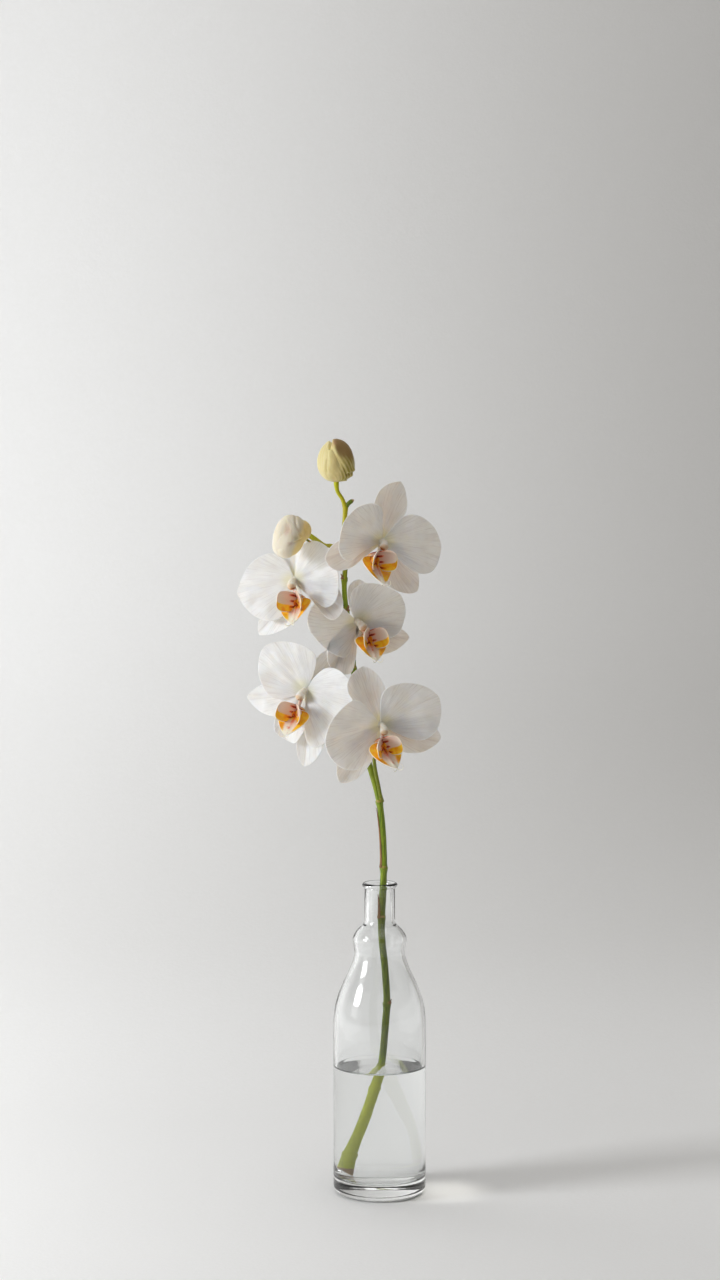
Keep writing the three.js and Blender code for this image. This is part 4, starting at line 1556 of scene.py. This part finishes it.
@dataclass
class Bloom:
    """An open bloom: its place, heading and roll, its tepals and its lip.

    turn is the heading of the face, to the right of straight ahead, and roll its lean in its own plane.
    """

    name: str
    centre: Place
    turn: float
    roll: float
    tepals: list[Blade]
    lip: Lip
    stalk_from: Place
    stalk_ways: list[Place]
    stalk_tone: float = 0.4
    column: Column = Column()
    thickness: float = 0.42
    along: int = 44
    across: int = 34

    @property
    def frame(self) -> Matrix:
        """From the bloom's frame to the object's."""
        return (Matrix.Translation(Vector(self.centre)) @ Matrix.Rotation(math.radians(self.turn), 4, "Z")
                @ Matrix.Rotation(math.pi / 2, 4, "X"))

    @property
    def column_back(self) -> float:
        """Where the back of the hub is, along the bloom's own z."""
        return self.column.hub_depth - self.column.hub_back

    @property
    def seed(self) -> float:
        """A number of the bloom's own, for its folds."""
        return 7.3 * int(self.name[-1])

    def make_tepals(self) -> None:
        """Make the sepals and petals."""
        piece = Piece(f"{self.name}_tepals", f"{self.name}_petals", Slot.PETALS, Tissue(),
                      thickness=self.thickness, subdivisions=1, mend_normals=False)
        matrix = self.frame @ Matrix.Rotation(math.radians(self.roll), 4, "Z")
        for number, blade in enumerate(self.tepals):
            join(piece.mesh, blade.sheet(self.seed + 1.7 * number, self.across, self.along), matrix)
        piece.finish()

    def make_column(self) -> None:
        """Make the column, its hub and its cap."""
        piece = Piece(f"{self.name}_column", f"{self.name}_petals", Slot.PETALS, ColumnFlesh())
        column = self.column
        swell_ball(piece.mesh, (column.hub_radius,) * 3, (0, 0, column.hub_depth))
        aside = Vector((*self.lip.place[:2], 0)).normalized()
        tip = Vector((0, 0, column.length)) + aside * column.lean
        end = tip + (aside * 0.7 + UP * 0.7) * column.cap_reach
        path = Path([(0, 0, column.hub_depth), (0, 0, column.length / 3), tuple(tip), tuple(end)])

        def radius_at(share: float) -> float:
            """The radius at a share of the length, with the cap rounded off at its end."""
            swell = blend(column.radius, column.cap_radius, eased(share, 0.2, 0.8))
            return swell * math.sqrt(bounded(1 - eased(share, 0.72, 1.0) ** 2, 0.01))

        sweep_tube(piece.mesh, path, radius_at, column.steps, column.sides)
        piece.paint("tan", lambda place: 0.8 * eased((place - tip).dot(UP + aside), -1, 2))
        # Rust-brown under the cap, partly painted shade of the hollow there.
        piece.paint("rust", lambda place: eased((place - tip).dot(aside), 0.9, 1.9) * eased(place.z, 2, 4))
        bmesh.ops.transform(piece.mesh, matrix=self.frame, verts=piece.mesh.verts[:])
        piece.finish()

    def make_lip_lobes(self) -> None:
        """Make the three lobes of the lip."""
        piece = Piece(f"{self.name}_lip_lobes", f"{self.name}_lip", Slot.LIP, LipTissue(),
                      thickness=self.lip.thickness, subdivisions=1, mend_normals=False)
        matrix = self.frame @ self.lip.matrix
        join(piece.mesh, self.lip.middle.sheet(self.seed, self.lip.across, self.lip.along), matrix)
        for lobe in self.lip.sides:
            join(piece.mesh, lobe.sheet(self.seed + lobe.at, self.lip.across, self.lip.along), matrix)
        piece.finish()

    def make_lip_heart(self) -> None:
        """Make the callus, the foot and the two whips of the lip."""
        piece = Piece(f"{self.name}_lip_heart", f"{self.name}_lip", Slot.LIP, LipTissue())
        lip = self.lip
        for side in (-1, 1):
            x, y, z = lip.callus_place
            swell_ball(piece.mesh, lip.callus_sizes, (x + side * lip.callus_gap, y + 0.5 * side, z))
        foot = lip.foot_path(self.column.radius, self.column.clearance)
        sweep_tube(piece.mesh, foot, lambda share: lip.foot_radius, 8, 14)
        callus = Vector(lip.callus_place)
        piece.paint("gold", lambda place: eased((place - callus).length, 4.5, 3))
        piece.paint("crimson", lambda place: 0.3 + 0.6 * ripple(0.8 * place.x, 0.6 * place.y, 0.8 * place.z)
                    - 0.25 * eased((place - callus).length, 3, 5))
        piece.paint("cream", lambda place: 0.3)
        layers = number_layers(piece.mesh, *MiddleLobe.TINTS)
        for side in (-1, 1):
            path = lip.tendril_path(side)
            whip = sweep_tube(piece.mesh, path, lambda share: lip.curl_radius * (1 - 0.75 * share), 20, 8)
            for vert in whip:
                for name, layer in layers.items():
                    vert[layer] = 1.0 if name == "cream" else 0.0
        bmesh.ops.transform(piece.mesh, matrix=self.frame @ lip.matrix, verts=piece.mesh.verts[:])
        piece.finish()


# ---- Buds ----


@dataclass(frozen=True)
class Fold:
    """A crease on the front of a bud, drawn as pairs of x and z seen from ahead.

    step raises the sepal on the left of the line, as it is drawn, and reach says how far over.
    """

    line: tuple[Pair, ...]
    depth: float = 0.5
    width: float = 0.6
    step: float = 0.0
    reach: float = 4.0

    def lift(self, x: float, z: float) -> float:
        """How far the crease lifts the skin.

        Args:
            x: The place to the right, seen from ahead.
            z: The place upwards.

        Returns:
            The height, which is under 0 in the crease.
        """
        nearest, gone = math.inf, 0.0
        for number, ((start_x, start_z), (end_x, end_z)) in enumerate(zip(self.line, self.line[1:])):
            run, rise = end_x - start_x, end_z - start_z
            share = bounded(((x - start_x) * run + (z - start_z) * rise) / (run * run + rise * rise))
            gap = math.hypot(x - start_x - share * run, z - start_z - share * rise)
            if gap < abs(nearest):
                nearest = math.copysign(gap, run * (z - start_z) - rise * (x - start_x))
                gone = (number + share) / (len(self.line) - 1)
        shown = eased(gone, 0, 0.2) * eased(gone, 1, 0.8)
        raised = self.step * eased(nearest, -0.4, 0.4) * hump(max(nearest, 0), self.reach)
        return shown * (raised - self.depth * hump(nearest, self.width))


@dataclass
class Bud:
    """A closed bud: an egg of folded sepals with a swelling beside its stalk.

    line is the middle of its stalk, and tints work from a place on the skin, its heading and how deep it is
    in the groove between two pleats. The ridges are the edges of its sepals, each ridge high and with a dent
    beside it, and twist turns them along the bud.

    Fine pleats run from its tip to its stalk. pleat_twist slants those on the right, in degrees of heading,
    and they end under the flap of skin that starts at flap_heading and hangs down to flap_foot.
    """

    name: str
    centre: Place
    tip: Place
    width: float
    depth: float
    length: float
    narrowing: float
    keel: float
    chin_offset: Place
    chin_sizes: Place
    line: list[Place]
    stalk_radius: float
    tints: dict[str, Tint]
    folds: tuple[Fold, ...]
    stalk_tone: float = 0.0
    pleat: float = 0.32
    pleat_pitch: float = 13.0
    pleat_twist: float = 0.0
    flap: float = 0.0
    flap_heading: float = 17.0
    flap_foot: float = -8.0
    sway: float = 0.0
    ridges: int = 5
    ridge: float = 0.4
    dent: float = 1.6
    twist: float = 1.6
    fullness: float = 0.15
    chin_softness: float = 1.2
    around: int = 150
    along: int = 100

    def chin_reach(self, direction: Vector) -> float:
        """How far from the bud's centre the surface of the swelling is.

        Args:
            direction: The direction to look in.

        Returns:
            The distance, or 0 where the swelling isn't in that direction.
        """
        sizes = Vector(self.chin_sizes)
        way = Vector(d / s for d, s in zip(direction, sizes))
        start = Vector(-o / s for o, s in zip(self.chin_offset, sizes))
        a, b, c = way.dot(way), way.dot(start), start.dot(start) - 1
        inside = b * b - a * c
        return (-b + math.sqrt(inside)) / a if inside > 0 else 0.0

    def lane(self, place: Vector) -> tuple[float, float]:
        """The heading of a place on the skin, in degrees to the right of ahead, and that of its pleat."""
        heading = math.degrees(math.atan2(place.x, -place.y))
        return heading, heading + self.pleat_twist * place.z / (self.length / 2) * eased(heading, -40, 0)

    def groove(self, lane: float) -> float:
        """How deep in the groove between two pleats a lane is, from 0 to 1."""
        return 0.5 - 0.5 * math.cos(math.tau * (lane + 7) / self.pleat_pitch)

    def relief(self, place: Vector) -> float:
        """How far the pleats, the flap and the folds lift the skin.

        Args:
            place: The place on the plain skin.

        Returns:
            The height.
        """
        heading, lane = self.lane(place)
        level = place.z / (self.length / 2)
        strength = eased(abs(level), 1.0, 0.7) * eased(abs(heading), 175, 120)
        under_flap = 1 - self.flap_share(heading, lane, place.z)
        depth = self.pleat * (0.7 + 1.6 * ripple(lane / 24, place.z / 11, self.keel))
        lift = -depth * self.groove(lane) * strength * under_flap + self.flap * (1 - under_flap)
        front = eased(place.y, 7, 2)
        return lift + sum(fold.lift(place.x, place.z) for fold in self.folds) * front

    def flap_share(self, heading: float, lane: float, height: float) -> float:
        """How much of the flap covers a place.

        Args:
            heading: The heading of the place.
            lane: The heading of its pleat.
            height: Its height over the bud's centre.

        Returns:
            A number from 0 to 1.
        """
        if not self.flap:
            return 0.0
        edge = eased(lane, self.flap_heading - 2.5, self.flap_heading + 1) * eased(heading, 130, 80)
        return edge * eased(height, self.flap_foot - 0.5, self.flap_foot + 0.5)

    def make(self) -> None:
        """Make the bud."""
        piece = Piece(f"{self.name}_body", self.name, Slot.BUD, BudSkin(), crease_angle=100)
        bmesh.ops.create_uvsphere(piece.mesh, u_segments=self.around, v_segments=self.along, radius=1)
        turn = Vector((0, 1, 0)).rotation_difference(Vector(self.tip).normalized())
        layers = number_layers(piece.mesh, *self.tints)
        for vert in piece.mesh.verts:
            x, y, z = vert.co.x, vert.co.z, -vert.co.y
            around = max(math.hypot(x, z), 1e-3)
            edge = math.cos(self.ridges * (math.atan2(z, x) - math.radians(self.keel)) + self.twist * y)
            sharp = edge if edge > 0 else self.dent * edge
            swell = (1 - self.narrowing * y) / around ** self.fullness
            swell += self.ridge / (self.width / 2) * sharp * around ** 2
            egg = Vector((x * self.width * swell / 2, y * self.length / 2, z * self.depth * swell / 2))
            place = turn @ egg
            way = place.normalized()
            reach = place.length
            chin = self.chin_reach(way)
            rounding = math.sqrt((reach - chin) ** 2 + self.chin_softness)
            merged = 0.5 * (reach + chin + rounding) if chin > 0 else reach
            place = way * max(reach, merged - 0.3)
            vert.co = place + way * self.relief(place)
            vert.co.x -= self.sway * eased(place.z, -1, -11)
            heading, lane = self.lane(place)
            for name, value_of in self.tints.items():
                vert[layers[name]] = bounded(value_of(place, heading, self.groove(lane)))
        bmesh.ops.translate(piece.mesh, vec=self.centre, verts=piece.mesh.verts[:])
        piece.finish()


BLOOMS = [
    Bloom(
        "bloom_1", (1.4, -46, 443.9), 28, -10,
        [
            sepal(88, 38.5, 13.5, 10.5, back_left=-2, back_right=2.5, bend=-7.5, tip=1.45, base=1.9,
                  egg=0.25, arch=-2, blush=0.35),
            petal(8, 38.5, 19, 19.5, back_left=3, back_right=-4, bend=-2.5, tip=1.15),
            petal(161, 30, 24, 19.5, back_left=-5, back_right=3, bend=3, tip=1, base=2.6, egg=0.1,
                  cup_left=10),
            sepal(200, 38, 10.5, 10, back_left=-3.5, back_right=1, bend=3.5, base=1.9, egg=0.3, blush=0.4),
            sepal(315, 40.5, 10.5, 15, back_left=1, back_right=3.5, bend=3.5, blush=0.5),
        ],
        Lip((-8.2, -12, 4.5), 0, -6, 1.5, 1), (-23.1, -9.2, 432), [(-20.5, -14, 437), (-11, -27, 443)],
    ),
    Bloom(
        "bloom_2", (-56.8, -32.5, 417.8), -26, 6,
        [
            sepal(86, 38, 9.5, 9.5, base=2, egg=0.15, lean=-9),
            petal(11, 32, 20.5, 24.5, back_left=2.5, back_right=-2, bend=3, tip=1.05, egg=0.15),
            petal(184, 37.5, 23.5, 20.5, back_left=6.5, back_right=9.5, bend=2, tip=1.35, base=1.6, egg=0.15),
            sepal(234, 43, 15, 9, back_left=5, back_right=1.5, bend=-6, tip=1.4),
            sepal(334, 37, 11.5, 9.5, back_left=1, back_right=-6.5, bend=-5, base=1.5, egg=0.4, lean=2,
                  cup_left=0, blush=0.3),
        ],
        Lip((5.7, -14.2, 4.5), 6, 8), (-22.5, -9, 396), [(-29, -12, 404), (-42, -18, 414)],
    ),
    Bloom(
        "bloom_3", (-15, -23, 389.8), 22, 14,
        [
            sepal(64, 25, 9, 9, base=1.9, egg=0.2, lean=-22),
            petal(27, 30.5, 20, 23.5, back_left=5.5, back_right=7, bend=-6.5, tip=1.25, base=1.5, egg=0.15),
            petal(176, 32.5, 21.5, 18.5, back_left=3.5, back_right=-2, bend=-6, tip=1.05, egg=-0.2, lean=9),
            sepal(225, 33, 11, 11.5, back_left=-5, back_right=1.5, bend=2.5, tip=1.25, egg=0.3, lean=1,
                  blush=0.25),
            sepal(321, 37.5, 7, 16, back_left=1.5, back_right=3.5, bend=5.5, blush=0.5),
        ],
        Lip((5.7, -12, 5), 8, 0), (-17.5, -9.2, 358), [(-18.3, -12.5, 366), (-18, -15.5, 379)],
    ),
    Bloom(
        "bloom_4", (-50.1, -24, 344), -24, -18,
        [
            sepal(67, 38, 10, 11.5, back_left=-1, lean=-25, blush=0.15),
            petal(344, 31, 23.5, 22.5, back_left=13, back_right=1, bend=1.5, tip=0.6, base=2.2, egg=0.6),
            petal(148, 36.5, 21.5, 23.5, back_left=6, back_right=4.5, bend=2.5, base=1.9, egg=-0.1),
            sepal(210, 41, 14, 9, back_left=2, back_right=1.5, bend=-3),
            sepal(293, 47.5, 15.5, 7, back_left=-1, back_right=-3, bend=-6.5, tip=1.25),
            sepal(262, 33, 12, 9, back_left=-5, back_right=-5, tip=0.7, base=1.8, egg=0.1, lean=2, rise=-0.6,
                  wave=1.6),
        ],
        Lip((-2.8, -15, 6), 6, -8), (-14.2, -9.2, 318), [(-22, -11, 327), (-36, -13.5, 338.5)],
    ),
    Bloom(
        "bloom_5", (0.8, -42, 323), 20, 12,
        [
            sepal(96, 37.5, 14.5, 9.5, back_left=-3.5, back_right=4, bend=-1, base=1.6, egg=0.4, arch=-2,
                  blush=0.3),
            petal(19, 39, 21, 22.5, back_left=6, back_right=2, bend=-4),
            petal(177, 39, 22.5, 21.5, back_left=-3, back_right=3.5, bend=3.5, tip=1.05, base=2.6, egg=-0.1,
                  cup_left=6),
            sepal(219, 43, 9, 12, back_left=-1, back_right=0.5, bend=2, base=1.55, egg=0.15, blush=0.25),
            sepal(331, 42, 10, 13.5, back_left=1, back_right=2.5, bend=2.5, blush=0.45),
        ],
        Lip((-1.1, -13.2, 4.8), 0, 10, 3), (1.2, -8.2, 268),
        [(-0.7, -12.2, 278), (-3.8, -17.5, 296), (-3, -27, 313)],
    ),
]

BUDS = [
    Bud(
        "bud_1", (-29.1, -9, 496), (-0.04, -0.05, 1), 24.6, 23.5, 28, 0.1, 115, (5.5, -1.5, -6.8),
        (7, 7.4, 6.6),
        [(-22.9, -9, 464.5), (-25, -9, 470.5), (-28.3, -9, 476), (-29.2, -9, 483.4)], 1.35,
        {
            "gold": lambda place, heading, groove: 0.4 * eased(heading, -50, 0),
            # Partly painted light and shade: pale on the lit left and on the pleat tops, olive towards the
            # shaded right and deeper in the grooves.
            "pale": lambda place, heading, groove: 0.2 * eased(heading, -15, -65)
            + 0.2 * eased(groove, 0.5, 0.1),
            "olive": lambda place, heading, groove: eased(heading, -15, 45) * blend(0.45, 0.85, groove),
            "brown": lambda place, heading, groove: eased(place.x + 0.35 * place.z, 0.7, 4.2)
            * eased(place.z + 0.5 * place.x, -1, 8) * blend(0.65, 1, eased(place.z, 0, 9)),
            "pink": lambda place, heading, groove: 0.45 * hump(math.hypot(place.x + 1.5, place.z - 11), 3)
            + 0.3 * hump(math.hypot(place.x + 2, place.z + 13), 3),
        },
        (
            Fold(((-2.5, 20), (-3.3, 13), (-4.1, 9.5), (-3.8, 7)), 1.9, 0.75, 0.7, 5),
            Fold(((-5.2, 18), (-5.2, 13), (-5.6, 9)), -0.3, 1.2),
            Fold(((-4.4, 10), (-5.2, 7.2), (-5.5, 3.9), (-5, 0)), 0.4, 0.45, 0.3, 3),
            Fold(((-6.2, 3), (-6.6, -1), (-6.5, -5), (-5.8, -9)), 0.75, 0.6, -0.3, 3),
            Fold(((-3.2, 11), (-1.9, 7), (1.2, 0.5), (4.6, -6)), 0.4, 0.5, 0.4, 4),
            Fold(((15.5, -7.2), (11, -8.6), (8.4, -9.2), (6, -9)), 1.3, 1.3),
            Fold(((14.5, -12.2), (9.4, -11.8), (7, -13.4)), 1.0, 1.3),
        ),
        pleat_twist=42, pleat=0.15, flap=0.25,
    ),
    Bud(
        "bud_2", (-59.2, -50, 447.7), (-0.2, -0.2, -1), 22, 21, 28.5, -0.04, 60, (8.2, 2.6, 3.8),
        (6.3, 6, 6.8),
        [(-23.6, -9.5, 437.5), (-28, -15.5, 438.6), (-32.5, -22, 440.3), (-36.2, -29, 440.8),
         (-40.3, -36, 443.6), (-46.8, -43, 448.4)], 1.3,
        {
            # Painted light: the gold on the shaded right stands for light shining through the bud.
            "gold": lambda place, heading, groove: 0.95 * eased(place.x, 0, 5),
            "pale": lambda place, heading, groove: 0.95 * eased(place.x - 0.3 * place.z, 10, 3),
            "olive": lambda place, heading, groove: 0.5 * hump(math.hypot(place.x - 4.6, place.z + 0.8), 3)
            + 0.2 * eased(place.x - 0.45 * place.z, 2.5, 8) * eased(place.z, -1, -6),
            "brown": lambda place, heading, groove: 0.28 * eased(place.x + 0.4 * place.z, 5.5, 9)
            * eased(place.z, -3, 1) + 0.12 * hump(math.hypot(place.x - 2, place.z - 9), 4),
            "pink": lambda place, heading, groove: max(
                0.5 * hump(math.hypot((place.x - 0.7) / 1.8, place.z + 3.9), 1.7),
                0.5 * hump(math.hypot(place.x + 1, (place.z - 5) / 1.6), 4)),
        },
        (
            Fold(((3.7, 15), (4.2, 9.6), (5.6, 5.6), (7, 2.3), (8.2, -0.6)), 1.0, 0.75, 0.5, 5),
            Fold(((12, -2), (6.5, -8.5), (1, -16)), 1.1, 2.6),
            Fold(((9.5, -0.8), (6.5, -1.8), (3, -3.4), (-1, -6.2)), 0.45, 0.5, -0.4, 1.5),
            Fold(((1.2, 4.2), (-2, 3.2), (-4.8, 1.4), (-7.2, -2.4), (-8.4, -7)), 0.2, 0.4, 0.2, 3),
            Fold(((-1.8, -7.4), (-5, -7.4), (-6.9, -8.6), (-6.2, -11.4), (-2.6, -15)), 0.3, 0.5, 0.25, 3),
            Fold(((-3.2, 13.4), (-1.4, 9.6), (0, 7), (1.3, 3.8)), 0.12, 0.4, 0.22, 2.5),
            Fold(((-0.5, 12.5), (1.8, 9.8), (4.9, 6)), 0.2, 0.5),
        ),
        pleat=0.08, sway=1.0,
    ),
]


# ---- Studio ----


@dataclass(frozen=True)
class Panel:
    """A soft light.

    place is where it stands and aim what it faces, in metres, size its width and height, power its watts, and
    seen whether the camera sees it.
    """

    name: str
    place: Place
    aim: Place
    size: Pair
    power: float
    colour: str = "#ffffff"
    shape: str = "RECTANGLE"
    seen: bool = True


@dataclass
class Studio:
    """The paper sweep, the window-like light from the left, and the camera.

    Its sizes are in metres, and those of the lens and the sensor in millimetres.
    air_glow is the strength of the light from everywhere, air_in_glass that of what glass shows of it, and
    air_seen that of what the camera sees past the paper.
    """

    floor_drop: float = 0.0002
    half_width: float = 3.0
    front: float = -3.2
    bend_start: float = 0.2
    bend_radius: float = 0.45
    bend_steps: int = 24
    wall_height: float = 3.0
    lens: float = 85
    sensor: float = 36
    camera_place: Place = (-0.0133, -2.017, 0.5418)
    camera_pitch: float = 85.3
    panels: tuple[Panel, ...] = (
        Panel("window", (-1.25, -0.5, 0.7), (0, 0.1, 0.3), (0.42, 0.4), 10.9, "#fbfdff"),
        Panel("ceiling", (-0.1, -0.5, 1.9), (0, 0.1, 0), (1.8, 1.8), 10.1),
        Panel("wall glow", (-1.1, -0.35, 0.5), (-0.55, 0.65, 0.4), (0.5, 0.8), 1.4),
        Panel("left card", (-0.5, 0, 0.14), (0, 0, 0.14), (0.9, 0.24), 0.3, seen=False),
        Panel("right card", (0.5, 0, 0.14), (0, 0, 0.14), (0.9, 0.24), 0.3, seen=False),
        Panel("light under foot", (0, 0, -0.0001), (0, 0, 1), (0.052, 0.052), 0.0026, "#f4fbf6", "DISK"))
    glint_place: Place = (0.17, 0.04, 0.3)
    glint_aim: Place = (0.042, 0, 0)
    glint_cone: float = 12
    glint_power: float = 1.8
    glint_colour: str = "#fffdf6"
    glint_softness: float = 0.012
    air_colour: str = "#f9f3ea"
    air_glow: float = 0.16
    air_in_glass: float = 0.25
    air_seen: float = 0.75

    def make_sweep(self) -> None:
        """Make the paper, floor and wall in one bent sheet."""
        mesh = bmesh.new()
        start = mesh.verts.new((-self.half_width, self.front, -self.floor_drop))
        bend = mesh.verts.new((-self.half_width, self.bend_start, -self.floor_drop))
        mesh.edges.new((start, bend))
        centre = (-self.half_width, self.bend_start, self.bend_radius - self.floor_drop)
        spun = bmesh.ops.spin(mesh, geom=[bend], cent=centre, axis=(1, 0, 0), angle=math.pi / 2,
                              steps=self.bend_steps)
        end = [element for element in spun["geom_last"] if isinstance(element, bmesh.types.BMVert)][0]
        top = mesh.verts.new((-self.half_width, end.co.y, self.wall_height))
        mesh.edges.new((end, top))
        side = bmesh.ops.extrude_edge_only(mesh, edges=mesh.edges[:])
        bmesh.ops.translate(mesh, vec=(2 * self.half_width, 0, 0), verts=parts_of(side, bmesh.types.BMVert))
        bmesh.ops.recalc_face_normals(mesh, faces=mesh.faces[:])
        floor = min(mesh.faces, key=lambda face: face.calc_center_median().z)
        if floor.normal.z < 0:
            bmesh.ops.reverse_faces(mesh, faces=mesh.faces[:])
        for face in mesh.faces:
            face.smooth = True
        self.set_up(mesh, "paper_sweep")

    def make_back_floor(self) -> None:
        """Make the floor behind the wall, which shows when the object is looked at from behind."""
        mesh = bmesh.new()
        bmesh.ops.create_grid(mesh, x_segments=1, y_segments=1, size=self.half_width)
        place = (0, self.bend_start + self.half_width, -self.floor_drop)
        bmesh.ops.translate(mesh, vec=place, verts=mesh.verts[:])
        self.set_up(mesh, "back_floor")

    def set_up(self, mesh: Mesh, name: str) -> None:
        """Make a mesh a piece of the stage, in paper.

        Args:
            mesh: The mesh, which is freed.
            name: The name of the piece.
        """
        data = bpy.data.meshes.new(name)
        mesh.to_mesh(data)
        mesh.free()
        data.materials.append(material_of(SweepPaper()))
        new_object(name, data)

    def hang(self, lamp: bpy.types.Light, place: Place, aim: Place, colour: str) -> bpy.types.Object:
        """Colour a light, give it its place and turn it to what it faces.

        Args:
            lamp: The light.
            place: Where it stands.
            aim: The place that it faces.
            colour: Its colour.

        Returns:
            The light's object.
        """
        lamp.color = linear(colour)[:3]
        made = new_object(lamp.name, lamp)
        made.location = place
        made.rotation_euler = (Vector(aim) - Vector(place)).to_track_quat("-Z", "Y").to_euler()
        return made

    def make_lights(self) -> None:
        """Light the scene softly from the left, and throw the light that the bottle gathers beside it."""
        for panel in self.panels:
            lamp = bpy.data.lights.new(panel.name, "AREA")
            lamp.shape = panel.shape
            lamp.size, lamp.size_y = panel.size
            lamp.energy = panel.power
            self.hang(lamp, panel.place, panel.aim, panel.colour).visible_camera = panel.seen
        gathered = bpy.data.lights.new("gathered light", "SPOT")
        gathered.energy = self.glint_power
        gathered.spot_size = math.radians(self.glint_cone)
        gathered.spot_blend = 1.0
        gathered.shadow_soft_size = self.glint_softness
        self.hang(gathered, self.glint_place, self.glint_aim, self.glint_colour)

    def make_air(self) -> None:
        """Fill the scene with a little light from everywhere."""
        world = bpy.data.worlds.new("studio air")
        world.use_nodes = True
        tree = world.node_tree
        rays = add_node(tree, "ShaderNodeLightPath").outputs
        glow = ranged(tree, rays["Is Diffuse Ray"], 0.0, 1.0, self.air_in_glass, self.air_glow)
        seen = reckoned(tree, "MULTIPLY", rays["Is Camera Ray"], self.air_seen - self.air_in_glass)
        strength = reckoned(tree, "ADD", glow, seen)
        feed(tree, tree.nodes["Background"], {"Color": self.air_colour, "Strength": strength})
        bpy.context.scene.world = world

    def make_camera(self) -> None:
        """Set the camera."""
        data = bpy.data.cameras.new("camera")
        data.lens = self.lens
        data.sensor_width = self.sensor
        camera = new_object("camera", data)
        camera.location = self.camera_place
        camera.rotation_euler = (math.radians(self.camera_pitch), 0, 0)
        bpy.context.scene.camera = camera

    def set_view(self) -> None:
        """Show the light as it is, without a film curve."""
        bpy.context.scene.view_settings.view_transform = "Standard"
        bpy.context.scene.view_settings.look = "None"


def main() -> None:
    """Build the object, light it and set the camera."""
    logging.basicConfig(level=logging.INFO, format="%(name)s: %(message)s")
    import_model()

    studio = Studio()
    studio.make_camera()
    studio.make_lights()
    studio.make_air()
    studio.make_sweep()
    studio.make_back_floor()
    studio.set_view()

    spike = Spike()
    spike.make_stem()
    spike.make_stalks(BLOOMS)
    spike.make_bracts()

    bottle = Bottle()
    bottle.make_glass()
    surface_radius = spike.radius_at(spike.path.share_at_height(bottle.water_level))
    bottle.make_water(spike.path, surface_radius)

    for bloom in BLOOMS:
        bloom.make_tepals()
        bloom.make_column()
        bloom.make_lip_lobes()
        bloom.make_lip_heart()
    for bud in BUDS:
        bud.make()


if __name__ == "__main__":
    main()
